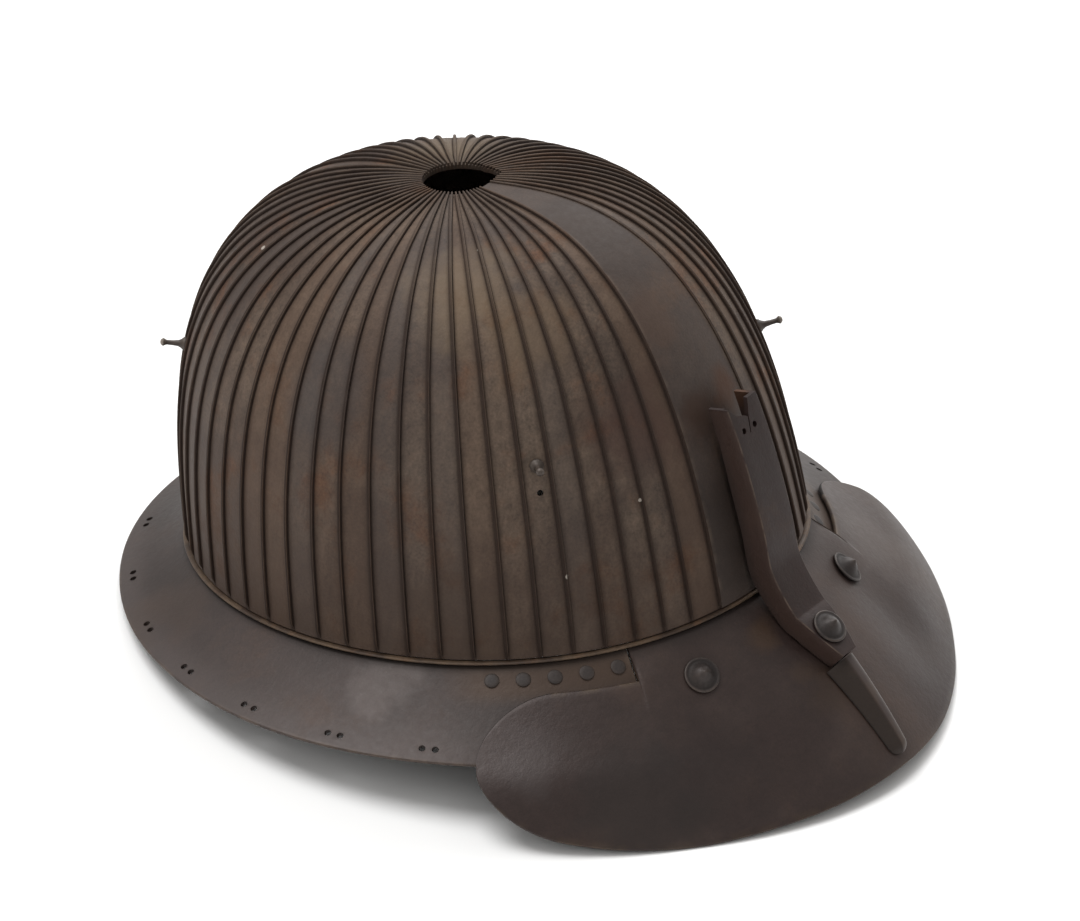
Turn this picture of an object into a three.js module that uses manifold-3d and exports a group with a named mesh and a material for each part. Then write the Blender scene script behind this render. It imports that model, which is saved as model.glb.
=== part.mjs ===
// An iron helmet bowl of many upright ribbed plates, with its peak and the top plate of its neck guard.
// Lengths are in millimetres. +Z is up, the front is towards -Y, and the wearer's right is towards -X.
// The helmet is built round the foot of its bowl, and then set down on its own edges at the end.

import * as THREE from "three";
import * as BufferGeometryUtils from "three/addons/utils/BufferGeometryUtils.js";
import Module from "manifold-3d";

const wasm = await Module();
wasm.setup();

// Bowl
const bowlHalfWidth = 101.5;
const bowlFrontReach = 112;
const bowlBackReach = 113;
const bowlHeight = 130;
const browLift = 2;
const crownHoleRadius = 12;
const crownHoleSetBack = 5;
const plateWall = 2;
const pieceGap = 0.3;

// Roundness of the bowl's upright section, and the angle at its foot where that section starts
const bowlSections = {
  front: { across: 2.9, upward: 3.5, footAngle: 25 },
  side: { across: 2.1, upward: 3.5, footAngle: 2 },
  back: { across: 2.2, upward: 3.5, footAngle: 0 },
};

// Plates and their ribs
const frontPlateHalfAngle = 11.5;
const backPlateHalfAngle = 11.5;
const firstPlateAngle = 7;
const platesPerSide = 26;
const platesPerGroup = 2;
const ribHeight = 2;
const ribThickness = 1;
const ribSurfaceDrop = 0.5;
const ribLargestShare = 0.45;
const ribFootHeight = 0.1;
const gapLargestShare = 0.25;

// Rows of facets up the bowl: how many, where the first lies in its step, and how they crowd to the foot
const bowlRows = 8;
const bowlFirstRowPlace = 0.35;
const bowlRowCrowding = 1.25;

// Torn notch where the plates in front of the crown hole have broken away
const notchNearX = 2.5;
const notchFarX = 11;
const notchFrontY = -5.5;
const notchCutHeight = 30;

// Rim round the foot of the bowl
const rimHeight = 1.6;
const rimProud = 1.3;
const rimInset = 2.2;
const rimShoulderShare = 0.6;
const rimSteps = 48;

// Top plate of the neck guard
const neckWall = 1.5;
const neckReach = 32.5;
const neckDrop = 29;
const neckEndAngle = 30.5;
const neckHollow = 1;
const neckRows = 4;
const neckColumns = 46;
const neckTable = [
  { angle: 30, reach: 0.82, drop: 1.0 },
  { angle: 60, reach: 0.93, drop: 0.81 },
  { angle: 90, reach: 1.0, drop: 0.64 },
  { angle: 120, reach: 0.89, drop: 0.52 },
  { angle: 150, reach: 0.74, drop: 0.42 },
  { angle: 180, reach: 0.66, drop: 0.36 },
];

// Lacing holes in pairs along the neck plate's edge
const laceHoleRadius = 1.2;
const laceHolePairSpread = 4.8;
const laceHoleEdge = 5.3;
const laceHoleAngles = [65, 80, 95.7, 111, 126, 142.5, 159.5, 180];
const laceHoleSides = 6;
const holeCutLength = 12;

// Peak
const peakWall = 1.6;
const peakReach = 53;
const peakDrop = 55.5;
const peakTipAngle = 57.8;
const peakTable = [
  { angle: 0, reach: 1.03, drop: 0.965, swell: 0.075 },
  { angle: 10, reach: 1.0, drop: 0.985, swell: 0.05 },
  { angle: 20, reach: 0.95, drop: 0.99, swell: 0.015 },
  { angle: 30, reach: 0.915, drop: 0.975, swell: 0.01 },
  { angle: 40, reach: 0.905, drop: 0.91, swell: 0.02 },
  { angle: 50, reach: 0.885, drop: 0.81, swell: 0.035 },
  { angle: 60, reach: 0.87, drop: 0.7, swell: 0.05 },
];
const peakStepShare = 0.2;
const peakWingMiddle = 0.66;
const peakInnerRoundAngle = 44;
const peakOuterRoundAngle = 46;
const peakCornerPowers = { right: 2.3, left: 1.7 };
const peakRows = 5;
const peakMiddleColumns = 8;
const peakWingColumns = 9;

// The wings lie on the neck plate, so the peak rises towards the plate's end and clears the whole of it
const wingClearance = 0.5;
const wingCoverShare = 1.35;
const wingRiseAngle = 16;
const wingRiseMargin = 0.5;
const wingTipMargin = 0.05;
const neckStepShare = 0.38;

// Crest holder, a channel up the middle of the bowl and out along the peak
const holderShift = 1.5;
const holderHalfWidth = 8.5;
const holderTipHalfWidth = 4;
const holderDepth = 8;
const holderWall = 1.6;
const holderTopHeight = 71;
const holderStandOff = 3.6;
const holderBendHeight = 9;
const holderSeatShare = 0.2;
const holderEndShare = 0.47;
const holderSeatLift = 0.3;
const holderTaperStart = 0.8;
const holderTaperPower = 1.6;
const holderSteps = 18;
const holderNotchDepth = 5;
const holderNotchHalfWidth = 5.5;
const holderNotchShift = -1;
const holderSlitWidth = 0.7;
const holderSlitLength = 5;
const holderHoleRadius = 1.1;
const holderHoleSpread = 5;
const holderHoleDrop = 11;

// Tapering ridge from the holder's end down to the brim
const ridgeHalfWidth = 6;
const ridgeTipHalfWidth = 3.2;
const ridgeHeight = 6.5;
const ridgeTipHeight = 1.4;
const ridgeEndShare = 0.955;
const ridgeStartGap = 0.006;
const ridgeShoulder = { across: 0.45, height: 0.86 };
const ridgeTipStart = 0.8;
const ridgeTipRound = 0.85;
const ridgeTipHeightShare = 0.4;
const ridgeSteps = 8;

// Large pointed rivets of the peak
const bossRadius = 6.2;
const bossHeight = 4.6;
const bossRimHeight = 1;
const bossRimInset = 1.1;
const bossSides = 14;
const bossPoint = [
  { radius: 0.62, height: 0.5 },
  { radius: 0.22, height: 0.84 },
];
const bossTable = [
  { name: "peak_rivet_right", angle: 20, share: 0.228 },
  { name: "peak_rivet_left", angle: -22.8, share: 0.26 },
];
const bossCentrePlace = 0.9;
const bossSeatLift = 0.2;

// Small rivets along the neck plate's strip
const stripRivetRadius = 3;
const stripRivetHeight = 0.8;
const stripRivetTopShare = 0.8;
const stripRivetSides = 10;
const stripRivetShare = 0.14;
const stripRivetFirstAngle = 32.8;
const stripRivetStep = 5.6;
const stripRivetsPerSide = 5;
const stripRivetSeatLift = 0.2;

// Pins on the bowl, each over a small hole
const pinLength = 9;
const pinRootRadius = 1.7;
const pinShankRadius = 0.85;
const pinBallRadius = 1.25;
const pinRootSpread = 1.25;
const pinSteps = { collar: 0.1, neck: 0.3, ball: 0.78, wide: 0.86, round: 0.94 };
const pinRise = 10;
const pinSides = 8;
const pinTable = [
  { name: "pin_front_right", side: 1, plate: 5, height: 66.5 },
  { name: "pin_front_left", side: -1, plate: 5, height: 62 },
  { name: "pin_back_right", side: 1, plate: 22, height: 70 },
  { name: "pin_back_left", side: -1, plate: 22, height: 70 },
];
const pinHoleDrop = 9;
const pinHoleRadius = 1.1;

// Rounds of halving and of settling, ample for a thousandth of a millimetre
const halvings = 40;
const pitchRounds = 30;

const iron = { color: 0x4d423d, roughness: 0.62, metalness: 0.75 };
const rustyIron = { color: 0x574335, roughness: 0.78, metalness: 0.55 };

const helmet = new THREE.Group();

function radians(degrees) {
  return THREE.MathUtils.degToRad(degrees);
}

function addPiece(name, geometry, finish) {
  const mesh = new THREE.Mesh(geometry, new THREE.MeshStandardMaterial(finish));
  mesh.name = name;
  helmet.add(mesh);
  return mesh;
}

// Bare shape: positions alone, with shared corners merged and flat triangles left out
function mergedGeometry(positions, faces) {
  const raw = new THREE.BufferGeometry();
  raw.setAttribute("position", new THREE.Float32BufferAttribute(positions, 3));
  raw.setIndex(faces);
  const merged = BufferGeometryUtils.mergeVertices(raw, 1e-4);
  const index = merged.getIndex().array;
  const kept = [];
  for (let i = 0; i < index.length; i += 3) {
    const [a, b, c] = [index[i], index[i + 1], index[i + 2]];
    if (a !== b && b !== c && c !== a) {
      kept.push(a, b, c);
    }
  }
  merged.setIndex(kept);
  return merged;
}

// Solid swept through sections that all have the same number of points.
// Each section is a closed outline, and the two end sections are capped unless the sweep closes on itself.
function sweptSolid(sections, { closed = false, flip = false } = {}) {
  const count = sections[0].length;
  const positions = sections.flat().flatMap((point) => [point.x, point.y, point.z]);
  const faces = [];
  const steps = closed ? sections.length : sections.length - 1;
  const addTriangle = (a, b, c) => (flip ? faces.push(a, c, b) : faces.push(a, b, c));
  for (let row = 0; row < steps; row += 1) {
    const here = row * count;
    const next = ((row + 1) % sections.length) * count;
    for (let i = 0; i < count; i += 1) {
      const j = (i + 1) % count;
      addTriangle(here + i, here + j, next + j);
      addTriangle(here + i, next + j, next + i);
    }
  }
  if (!closed) {
    const last = (sections.length - 1) * count;
    for (const [a, b, c] of capTriangles(sections[0])) {
      addTriangle(c, b, a);
    }
    for (const [a, b, c] of capTriangles(sections[sections.length - 1])) {
      addTriangle(last + a, last + b, last + c);
    }
  }
  return mergedGeometry(positions, faces);
}

// Triangles that fill one section, found on the plane that fits it best
function capTriangles(section) {
  const centre = section.reduce((sum, point) => sum.add(point), new THREE.Vector3());
  centre.divideScalar(section.length);
  const normal = new THREE.Vector3();
  section.forEach((point, i) => {
    const next = section[(i + 1) % section.length];
    normal.add(point.clone().sub(centre).cross(next.clone().sub(centre)));
  });
  normal.normalize();
  const across = section[1].clone().sub(section[0]);
  across.addScaledVector(normal, -across.dot(normal)).normalize();
  const along = normal.clone().cross(across);
  const flat = section.map((point) => {
    const arm = point.clone().sub(centre);
    return new THREE.Vector2(arm.dot(across), arm.dot(along));
  });
  return THREE.ShapeUtils.triangulateShape(flat, []);
}

function toManifold(geometry) {
  const bare = geometry.clone();
  bare.deleteAttribute("normal");
  bare.deleteAttribute("uv");
  const merged = BufferGeometryUtils.mergeVertices(bare, 1e-4);
  const vertProperties = new Float32Array(merged.getAttribute("position").array);
  const triVerts = new Uint32Array(merged.getIndex().array);
  return new wasm.Manifold(new wasm.Mesh({ numProp: 3, vertProperties, triVerts }));
}

function fromManifold(solid) {
  const mesh = solid.getMesh();
  const geometry = new THREE.BufferGeometry();
  geometry.setAttribute("position", new THREE.Float32BufferAttribute(mesh.vertProperties, 3));
  geometry.setIndex(Array.from(mesh.triVerts));
  return geometry;
}

function subtractAll(geometry, cutters) {
  const cut = cutters.reduce((rest, cutter) => rest.subtract(toManifold(cutter)), toManifold(geometry));
  return fromManifold(cut);
}

// Bowl surface

// Angles run from the front, positive towards the wearer's right
function blend(angle, key) {
  const along = Math.cos(radians(angle));
  const end = along > 0 ? bowlSections.front[key] : bowlSections.back[key];
  return end * along * along + bowlSections.side[key] * (1 - along * along);
}

function footPoint(angle) {
  const turn = radians(angle);
  const reach = Math.cos(turn) > 0 ? bowlFrontReach : bowlBackReach;
  return new THREE.Vector3(-bowlHalfWidth * Math.sin(turn), -reach * Math.cos(turn), browHeight(angle));
}

// The foot of the bowl arches up a little over the brow
function browHeight(angle) {
  return browLift * Math.max(Math.cos(radians(angle)), 0) ** 6;
}

// Point of the bowl's outer skin; share runs from 0 at the foot to 1 at the crown hole
function skinPoint(angle, share) {
  const foot = footPoint(angle);
  const turn = radians(angle);
  const start = radians(blend(angle, "footAngle"));
  const sweep = start + share * (Math.PI / 2 - 1e-6 - start);
  const inward = (Math.cos(sweep) / Math.cos(start)) ** (2 / blend(angle, "across"));
  const low = Math.sin(start) ** (2 / blend(angle, "upward"));
  const upward = (Math.sin(sweep) ** (2 / blend(angle, "upward")) - low) / (1 - low);
  const holeX = -crownHoleRadius * Math.sin(turn);
  const holeY = -crownHoleRadius * Math.cos(turn);
  return new THREE.Vector3(
    holeX + (foot.x - holeX) * inward,
    holeY + (foot.y - holeY) * inward + crownHoleSetBack * (1 - inward),
    foot.z + (bowlHeight - foot.z) * upward,
  );
}

function skinNormal(angle, share) {
  const step = 0.02;
  const low = Math.max(share - step, 0);
  const high = Math.min(share + step, 1);
  const up = skinPoint(angle, high).sub(skinPoint(angle, low));
  const round = skinPoint(angle + 0.5, share).sub(skinPoint(angle - 0.5, share));
  return up.cross(round).normalize();
}

function bowlPoint(angle, share, offset) {
  return skinPoint(angle, share).addScaledVector(skinNormal(angle, share), offset);
}

// Shares of the rows, closer together near the foot where the ribs end
function rowShares() {
  const shares = [0];
  for (let row = 0; row < bowlRows; row += 1) {
    shares.push(((row + bowlFirstRowPlace) / (bowlRows - 1 + bowlFirstRowPlace)) ** bowlRowCrowding);
  }
  return shares;
}

function millimetresPerDegree(angle, share) {
  return skinPoint(angle + 0.5, share).distanceTo(skinPoint(angle - 0.5, share));
}

// Plates between firstAngle and lastAngle, each with one rib on the edge nearer the front
function plateGroup(ribAngles, lastAngle) {
  const sections = rowShares().map((share, row) => {
    const scale = millimetresPerDegree((ribAngles[0] + lastAngle) / 2, share);
    const pitch = (lastAngle - ribAngles[0]) / ribAngles.length;
    const gap = Math.min(pieceGap / 2 / scale, pitch * gapLargestShare);
    const thick = Math.min(ribThickness / scale, pitch * ribLargestShare);
    const proud = (row === 0 ? ribFootHeight : ribHeight) - ribSurfaceDrop;
    const outline = [];
    ribAngles.forEach((ribAngle, i) => {
      const near = ribAngle + (i === 0 ? gap : 0);
      const far = near + thick;
      outline.push(bowlPoint(near, share, -ribSurfaceDrop));
      outline.push(bowlPoint(near, share, proud));
      outline.push(bowlPoint(far, share, proud));
      outline.push(bowlPoint(far, share, -ribSurfaceDrop));
    });
    outline.push(bowlPoint(lastAngle - gap, share, -ribSurfaceDrop));
    outline.push(bowlPoint(lastAngle - gap, share, -plateWall));
    outline.push(bowlPoint((ribAngles[0] + lastAngle) / 2, share, -plateWall));
    outline.push(bowlPoint(ribAngles[0] + gap, share, -plateWall));
    return outline;
  });
  return sweptSolid(sections, { flip: true });
}

// Smooth plate at the front or the back
function smoothPlate(centreAngle, halfAngle) {
  const columns = 4;
  const sections = rowShares().map((share) => {
    const scale = millimetresPerDegree(centreAngle, share);
    const half = halfAngle - Math.min(pieceGap / 2 / scale, halfAngle * gapLargestShare);
    const outline = [];
    for (let i = 0; i <= columns; i += 1) {
      outline.push(bowlPoint(centreAngle - half + (2 * half * i) / columns, share, 0));
    }
    for (let i = columns; i >= 0; i -= 1) {
      outline.push(bowlPoint(centreAngle - half + (2 * half * i) / columns, share, -plateWall));
    }
    return outline;
  });
  return sweptSolid(sections, { flip: true });
}

// Cylinder whose axis runs along a direction through a point
function rod(radius, length, centre, direction, sides = 8) {
  const geometry = new THREE.CylinderGeometry(radius, radius, length, sides);
  const turn = new THREE.Quaternion().setFromUnitVectors(new THREE.Vector3(0, 1, 0), direction);
  geometry.applyQuaternion(turn);
  geometry.translate(centre.x, centre.y, centre.z);
  return geometry;
}

// Share of the bowl's height at which the skin reaches a height
function shareAtHeight(angle, height) {
  let low = 0;
  let high = 1;
  for (let i = 0; i < halvings; i += 1) {
    const middle = (low + high) / 2;
    if (skinPoint(angle, middle).z < height) {
      low = middle;
    } else {
      high = middle;
    }
  }
  return low;
}

// Middle of a plate's clear width, counted from the front
function plateMiddle(number) {
  const angles = plateAngles();
  return (angles[number] + angles[number + 1]) / 2;
}

const pinPlaces = pinTable.map(({ name, side, plate, height }) => {
  return { name, angle: side * plateMiddle(plate), height };
});

const pinHoleCutters = pinPlaces.map(({ angle, height }) => {
  const share = shareAtHeight(angle, height - pinHoleDrop);
  return rod(pinHoleRadius, holeCutLength, skinPoint(angle, share), skinNormal(angle, share));
});

function notchCutter() {
  const depth = crownHoleRadius - notchFrontY;
  const geometry = new THREE.BoxGeometry(notchFarX - notchNearX, depth, notchCutHeight);
  geometry.translate((notchFarX + notchNearX) / 2, notchFrontY + depth / 2, bowlHeight);
  return geometry;
}

function plateAngles() {
  const angles = [frontPlateHalfAngle];
  const rest = 180 - frontPlateHalfAngle - firstPlateAngle - backPlateHalfAngle;
  for (let i = 0; i < platesPerSide; i += 1) {
    angles.push(frontPlateHalfAngle + firstPlateAngle + (rest * i) / (platesPerSide - 1));
  }
  return angles;
}

function mirrored(geometry) {
  const copy = geometry.clone();
  const position = copy.getAttribute("position");
  for (let i = 0; i < position.count; i += 1) {
    position.setX(i, -position.getX(i));
  }
  const index = copy.getIndex();
  for (let i = 0; i < index.count; i += 3) {
    const second = index.getX(i + 1);
    index.setX(i + 1, index.getX(i + 2));
    index.setX(i + 2, second);
  }
  return copy;
}

function addBowl() {
  addPiece("front_plate", smoothPlate(0, frontPlateHalfAngle), iron);
  addPiece("back_plate", smoothPlate(180, backPlateHalfAngle), rustyIron);
  const angles = plateAngles();
  for (let first = 0; first < platesPerSide; first += platesPerGroup) {
    const last = Math.min(first + platesPerGroup, platesPerSide);
    const group = plateGroup(angles.slice(first, last), angles[last]);
    const number = first / platesPerGroup + 1;
    const right = subtractAll(group, pinHoleCutters);
    const left = subtractAll(mirrored(group), [...pinHoleCutters, notchCutter()]);
    addPiece(`plates_right_${number}`, right, rustyIron);
    addPiece(`plates_left_${number}`, left, rustyIron);
  }
}

// Rim

const rimTop = -pieceGap;
const rimBottom = rimTop - rimHeight;
const skirtTop = rimBottom - pieceGap;

function addRim() {
  const sections = [];
  for (let step = 0; step < rimSteps; step += 1) {
    const angle = (360 * step) / rimSteps;
    const foot = footPoint(angle);
    const outward = foot.clone().setZ(0).normalize();
    const at = (reach, height) => foot.clone().addScaledVector(outward, reach).setZ(foot.z + height);
    sections.push([
      at(-rimInset, rimTop),
      at(rimProud * rimShoulderShare, rimTop),
      at(rimProud, (rimTop + rimBottom) / 2),
      at(rimProud * rimShoulderShare, rimBottom),
      at(-rimInset, rimBottom),
    ]);
  }
  addPiece("bowl_rim", sweptSolid(sections, { closed: true, flip: true }), iron);
}

// Neck plate and peak

// Distance of the bowl's foot from the middle, at a true angle from the front
function footReach(angle) {
  const turn = radians(angle);
  const reach = Math.cos(turn) > 0 ? bowlFrontReach : bowlBackReach;
  return 1 / Math.hypot(Math.sin(turn) / bowlHalfWidth, Math.cos(turn) / reach);
}

// Smooth value from a table of sections, level at the front and at the back
function tableValue(table, key, angle) {
  const size = Math.abs(angle);
  const rows = table.map((row) => row[key]);
  const step = table[1].angle - table[0].angle;
  const place = (size - table[0].angle) / step;
  const i = Math.min(Math.max(Math.floor(place), 0), table.length - 2);
  const before = rows[Math.max(i - 1, 0)];
  const after = rows[Math.min(i + 2, table.length - 1)];
  const t = place - i;
  const [a, b] = [rows[i], rows[i + 1]];
  const startSlope = i === 0 && table[0].angle === 0 ? 0 : (b - before) / (i === 0 ? 1 : 2);
  const endSlope = (after - a) / (i === table.length - 2 ? 1 : 2);
  const endsLevel = i === table.length - 2 && table[table.length - 1].angle === 180;
  const finish = endsLevel ? 0 : endSlope;
  return (
    a * (2 * t ** 3 - 3 * t ** 2 + 1) +
    startSlope * (t ** 3 - 2 * t ** 2 + t) +
    b * (3 * t ** 2 - 2 * t ** 3) +
    finish * (t ** 3 - t ** 2)
  );
}

// Point of a skirt that runs from the bowl's foot outwards and down
function skirtPoint(angle, share, { reach, drop, swell, lift }) {
  const slope = Math.hypot(reach, drop);
  const bulge = swell * 4 * share * (1 - share) + lift;
  const out = footReach(angle) + reach * share + (drop / slope) * bulge;
  const height = browHeight(angle) * (1 - share) + skirtTop - drop * share + (reach / slope) * bulge;
  const turn = radians(angle);
  return new THREE.Vector3(-out * Math.sin(turn), -out * Math.cos(turn), height);
}

function neckPoint(angle, share, lift) {
  const reach = neckReach * tableValue(neckTable, "reach", angle);
  const drop = neckDrop * tableValue(neckTable, "drop", angle) + skirtTop;
  return skirtPoint(angle, share, { reach, drop, swell: -neckHollow, lift });
}

function peakPoint(angle, share, lift) {
  const reach = peakReach * tableValue(peakTable, "reach", angle);
  const drop = peakDrop * tableValue(peakTable, "drop", angle) + skirtTop;
  const swell = peakReach * tableValue(peakTable, "swell", angle);
  return skirtPoint(angle, share, { reach, drop, swell, lift });
}

function neckNormal(angle, share) {
  return neckPoint(angle, share, 1).sub(neckPoint(angle, share, 0)).normalize();
}

function peakNormal(angle, share) {
  const step = 0.01;
  const down = peakPoint(angle, share + step, 0).sub(peakPoint(angle, share - step, 0));
  const round = peakPoint(angle + 0.5, share, 0).sub(peakPoint(angle - 0.5, share, 0));
  return round.cross(down).normalize();
}

function addNeckPlate() {
  const sections = [];
  for (let column = 0; column <= neckColumns; column += 1) {
    const angle = neckEndAngle + ((360 - 2 * neckEndAngle) * column) / neckColumns;
    const folded = angle > 180 ? angle - 360 : angle;
    const outline = [];
    for (let row = 0; row <= neckRows; row += 1) {
      outline.push(neckPoint(folded, row / neckRows, 0));
    }
    for (let row = neckRows; row >= 0; row -= 1) {
      outline.push(neckPoint(folded, row / neckRows, -neckWall));
    }
    sections.push(outline);
  }
  const cutters = laceHolePlaces().map(({ centre, normal }) => {
    return rod(laceHoleRadius, holeCutLength, centre, normal, laceHoleSides);
  });
  addPiece("neck_plate", subtractAll(sweptSolid(sections, { flip: true }), cutters), iron);
}

function laceHolePlaces() {
  const places = [];
  for (const middle of laceHoleAngles) {
    for (const side of middle === 180 ? [1] : [1, -1]) {
      for (const half of [-0.5, 0.5]) {
        const reach = footReach(middle) + neckReach;
        const spread = THREE.MathUtils.radToDeg(laceHolePairSpread / reach);
        const turned = side * (middle + half * spread);
        const angle = turned > 180 ? turned - 360 : turned;
        const width = neckPoint(angle, 1, 0).distanceTo(neckPoint(angle, 0, 0));
        const share = 1 - laceHoleEdge / width;
        places.push({ centre: neckPoint(angle, share, 0), normal: neckNormal(angle, share) });
      }
    }
  }
  return places;
}

// Inner and outer ends of the peak's surface at an angle, as shares of its slope
function peakInner(angle) {
  const size = Math.abs(angle);
  if (size < neckEndAngle) {
    return 0;
  }
  const past = Math.max(size - peakInnerRoundAngle, 0) / (peakTipAngle - peakInnerRoundAngle);
  const round = Math.sqrt(Math.max(1 - past * past, 0));
  return peakWingMiddle - (peakWingMiddle - peakStepShare) * round;
}

function peakOuter(angle) {
  const size = Math.abs(angle);
  const power = angle > 0 ? peakCornerPowers.right : peakCornerPowers.left;
  const past = Math.max(size - peakOuterRoundAngle, 0) / (peakTipAngle - peakOuterRoundAngle);
  const round = Math.max(1 - past ** power, 0) ** (1 / power);
  return peakWingMiddle + (1 - peakWingMiddle) * round;
}

// Angles of the peak's sections: even over the brow, and crowded towards the tips of the wings
function peakAngles() {
  const angles = [];
  for (let i = 0; i <= peakMiddleColumns; i += 1) {
    angles.push(((neckEndAngle - wingRiseMargin) * i) / peakMiddleColumns);
  }
  const tip = peakTipAngle - wingTipMargin;
  for (let i = 0; i <= peakWingColumns; i += 1) {
    const along = Math.sin(((Math.PI / 2) * i) / peakWingColumns);
    angles.push(neckEndAngle + (tip - neckEndAngle) * along);
  }
  return [...angles.slice(1).reverse().map((angle) => -angle), ...angles];
}

// Height that keeps a point of the wing's underside clear above the neck plate
function clearOfNeck(point, angle) {
  const out = Math.hypot(point.x, point.y);
  const reach = neckReach * tableValue(neckTable, "reach", angle);
  const share = (out - footReach(angle)) / reach;
  const along = THREE.MathUtils.smoothstep(Math.abs(angle), wingRiseAngle, neckEndAngle - wingRiseMargin);
  const below = THREE.MathUtils.smoothstep(share, 0, neckStepShare);
  const rise = along * below;
  if (rise === 0 || share > wingCoverShare) {
    return point;
  }
  const floor = neckPoint(angle, share, 0).z + wingClearance / neckNormal(angle, 0.5).z;
  return point.setZ(point.z + Math.max(floor - point.z, 0) * rise);
}

function peakUnder(angle, share) {
  return clearOfNeck(peakPoint(angle, share, -peakWall), angle);
}

function peakTop(angle, share) {
  return peakUnder(angle, share).addScaledVector(peakNormal(angle, share), peakWall);
}

function addPeak() {
  const sections = peakAngles().map((angle) => {
    const inner = peakInner(angle);
    const outer = peakOuter(angle);
    const outline = [];
    for (let row = 0; row <= peakRows; row += 1) {
      outline.push(peakTop(angle, inner + ((outer - inner) * row) / peakRows));
    }
    for (let row = peakRows; row >= 0; row -= 1) {
      outline.push(peakUnder(angle, inner + ((outer - inner) * row) / peakRows));
    }
    return outline;
  });
  addPiece("peak", sweptSolid(sections, { flip: true }), iron);
}

// Crest holder and ridge, along the middle of the helmet

// Foot of the holder: down in front of the front plate, then out over the peak
function holderFootCurve() {
  const points = [];
  const upperSteps = 4;
  for (let i = 0; i <= upperSteps; i += 1) {
    const height = holderTopHeight + ((holderBendHeight - holderTopHeight) * i) / upperSteps;
    const front = skinPoint(0, shareAtHeight(0, height)).y;
    points.push(new THREE.Vector3(0, front - holderStandOff, height));
  }
  const lowerSteps = 4;
  for (let i = 0; i <= lowerSteps; i += 1) {
    const share = holderSeatShare + ((holderEndShare - holderSeatShare) * i) / lowerSteps;
    points.push(overPeak(share, pieceGap + holderSeatLift));
  }
  return new THREE.CatmullRomCurve3(points, false, "centripetal");
}

function overPeak(share, lift) {
  return peakTop(0, share).addScaledVector(peakNormal(0, share), lift);
}

// Direction out of the helmet at a place on a curve that lies in the middle plane
function outwardOf(curve, place) {
  const tangent = curve.getTangentAt(place);
  return new THREE.Vector3(0, tangent.z, -tangent.y).normalize();
}

function frameAt(curve, place) {
  const centre = curve.getPointAt(place);
  const outward = outwardOf(curve, place);
  return (x, depth) => centre.clone().addScaledVector(outward, depth).setX(x + holderShift);
}

function holderHalfAt(place) {
  const taper = Math.max(place - holderTaperStart, 0) / (1 - holderTaperStart);
  return holderHalfWidth - (holderHalfWidth - holderTipHalfWidth) * taper ** holderTaperPower;
}

function addHolder() {
  const curve = holderFootCurve();
  const sections = [];
  for (let step = 0; step <= holderSteps; step += 1) {
    const place = step / holderSteps;
    const at = frameAt(curve, place);
    const outer = holderHalfAt(place);
    const inner = outer - holderWall;
    const floor = holderDepth - holderWall;
    sections.push([
      at(-outer, 0),
      at(-outer, holderDepth),
      at(outer, holderDepth),
      at(outer, 0),
      at(inner, 0),
      at(inner, floor),
      at(-inner, floor),
      at(-inner, 0),
    ]);
  }
  const face = frameAt(curve, 0);
  const outward = outwardOf(curve, 0);
  const down = curve.getTangentAt(0);
  const notch = prismAcross(face(holderNotchShift, holderDepth), outward, down);
  const holes = [-0.5, 0.5].map((half) => {
    const centre = face(half * holderHoleSpread, holderDepth).addScaledVector(down, holderHoleDrop);
    return rod(holderHoleRadius, holderWall * 4, centre, outward);
  });
  addPiece("crest_holder", subtractAll(sweptSolid(sections, { flip: true }), [notch, ...holes]), iron);
}

// Wedge that cuts the torn notch and the short slit below it through the holder's face
function prismAcross(tip, outward, down) {
  const shape = new THREE.Shape();
  const half = holderSlitWidth / 2;
  shape.moveTo(-holderNotchHalfWidth, -holderNotchDepth);
  shape.lineTo(holderNotchHalfWidth, -holderNotchDepth);
  shape.lineTo(half, holderNotchDepth);
  shape.lineTo(half, holderNotchDepth + holderSlitLength);
  shape.lineTo(-half, holderNotchDepth + holderSlitLength);
  shape.lineTo(-half, holderNotchDepth);
  const cutDepth = holderWall * 3;
  const geometry = new THREE.ExtrudeGeometry(shape, { depth: cutDepth, bevelEnabled: false });
  geometry.translate(0, 0, -cutDepth / 2);
  const side = down.clone().cross(outward).normalize();
  geometry.applyMatrix4(new THREE.Matrix4().makeBasis(side, down, outward));
  geometry.translate(tip.x, tip.y, tip.z);
  return geometry;
}

function addRidge() {
  const startShare = holderEndShare + ridgeStartGap;
  const sections = [];
  for (let step = 0; step <= ridgeSteps; step += 1) {
    const along = step / ridgeSteps;
    const share = startShare + (ridgeEndShare - startShare) * along;
    const past = Math.max((along - ridgeTipStart) / (1 - ridgeTipStart), 0);
    const round = Math.sqrt(1 - ridgeTipRound * past ** 2);
    const half = THREE.MathUtils.lerp(ridgeHalfWidth, ridgeTipHalfWidth, along) * round;
    const full = THREE.MathUtils.lerp(ridgeHeight, ridgeTipHeight, along);
    const height = full * THREE.MathUtils.lerp(ridgeTipHeightShare, 1, round);
    const at = (x, lift) => overPeak(share, pieceGap + lift).setX(x + holderShift);
    sections.push([
      at(-half, 0),
      at(-half * ridgeShoulder.across, height * ridgeShoulder.height),
      at(0, height),
      at(half * ridgeShoulder.across, height * ridgeShoulder.height),
      at(half, 0),
    ]);
  }
  addPiece("peak_ridge", sweptSolid(sections, { flip: true }), iron);
}

// Rivets and pins

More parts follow.
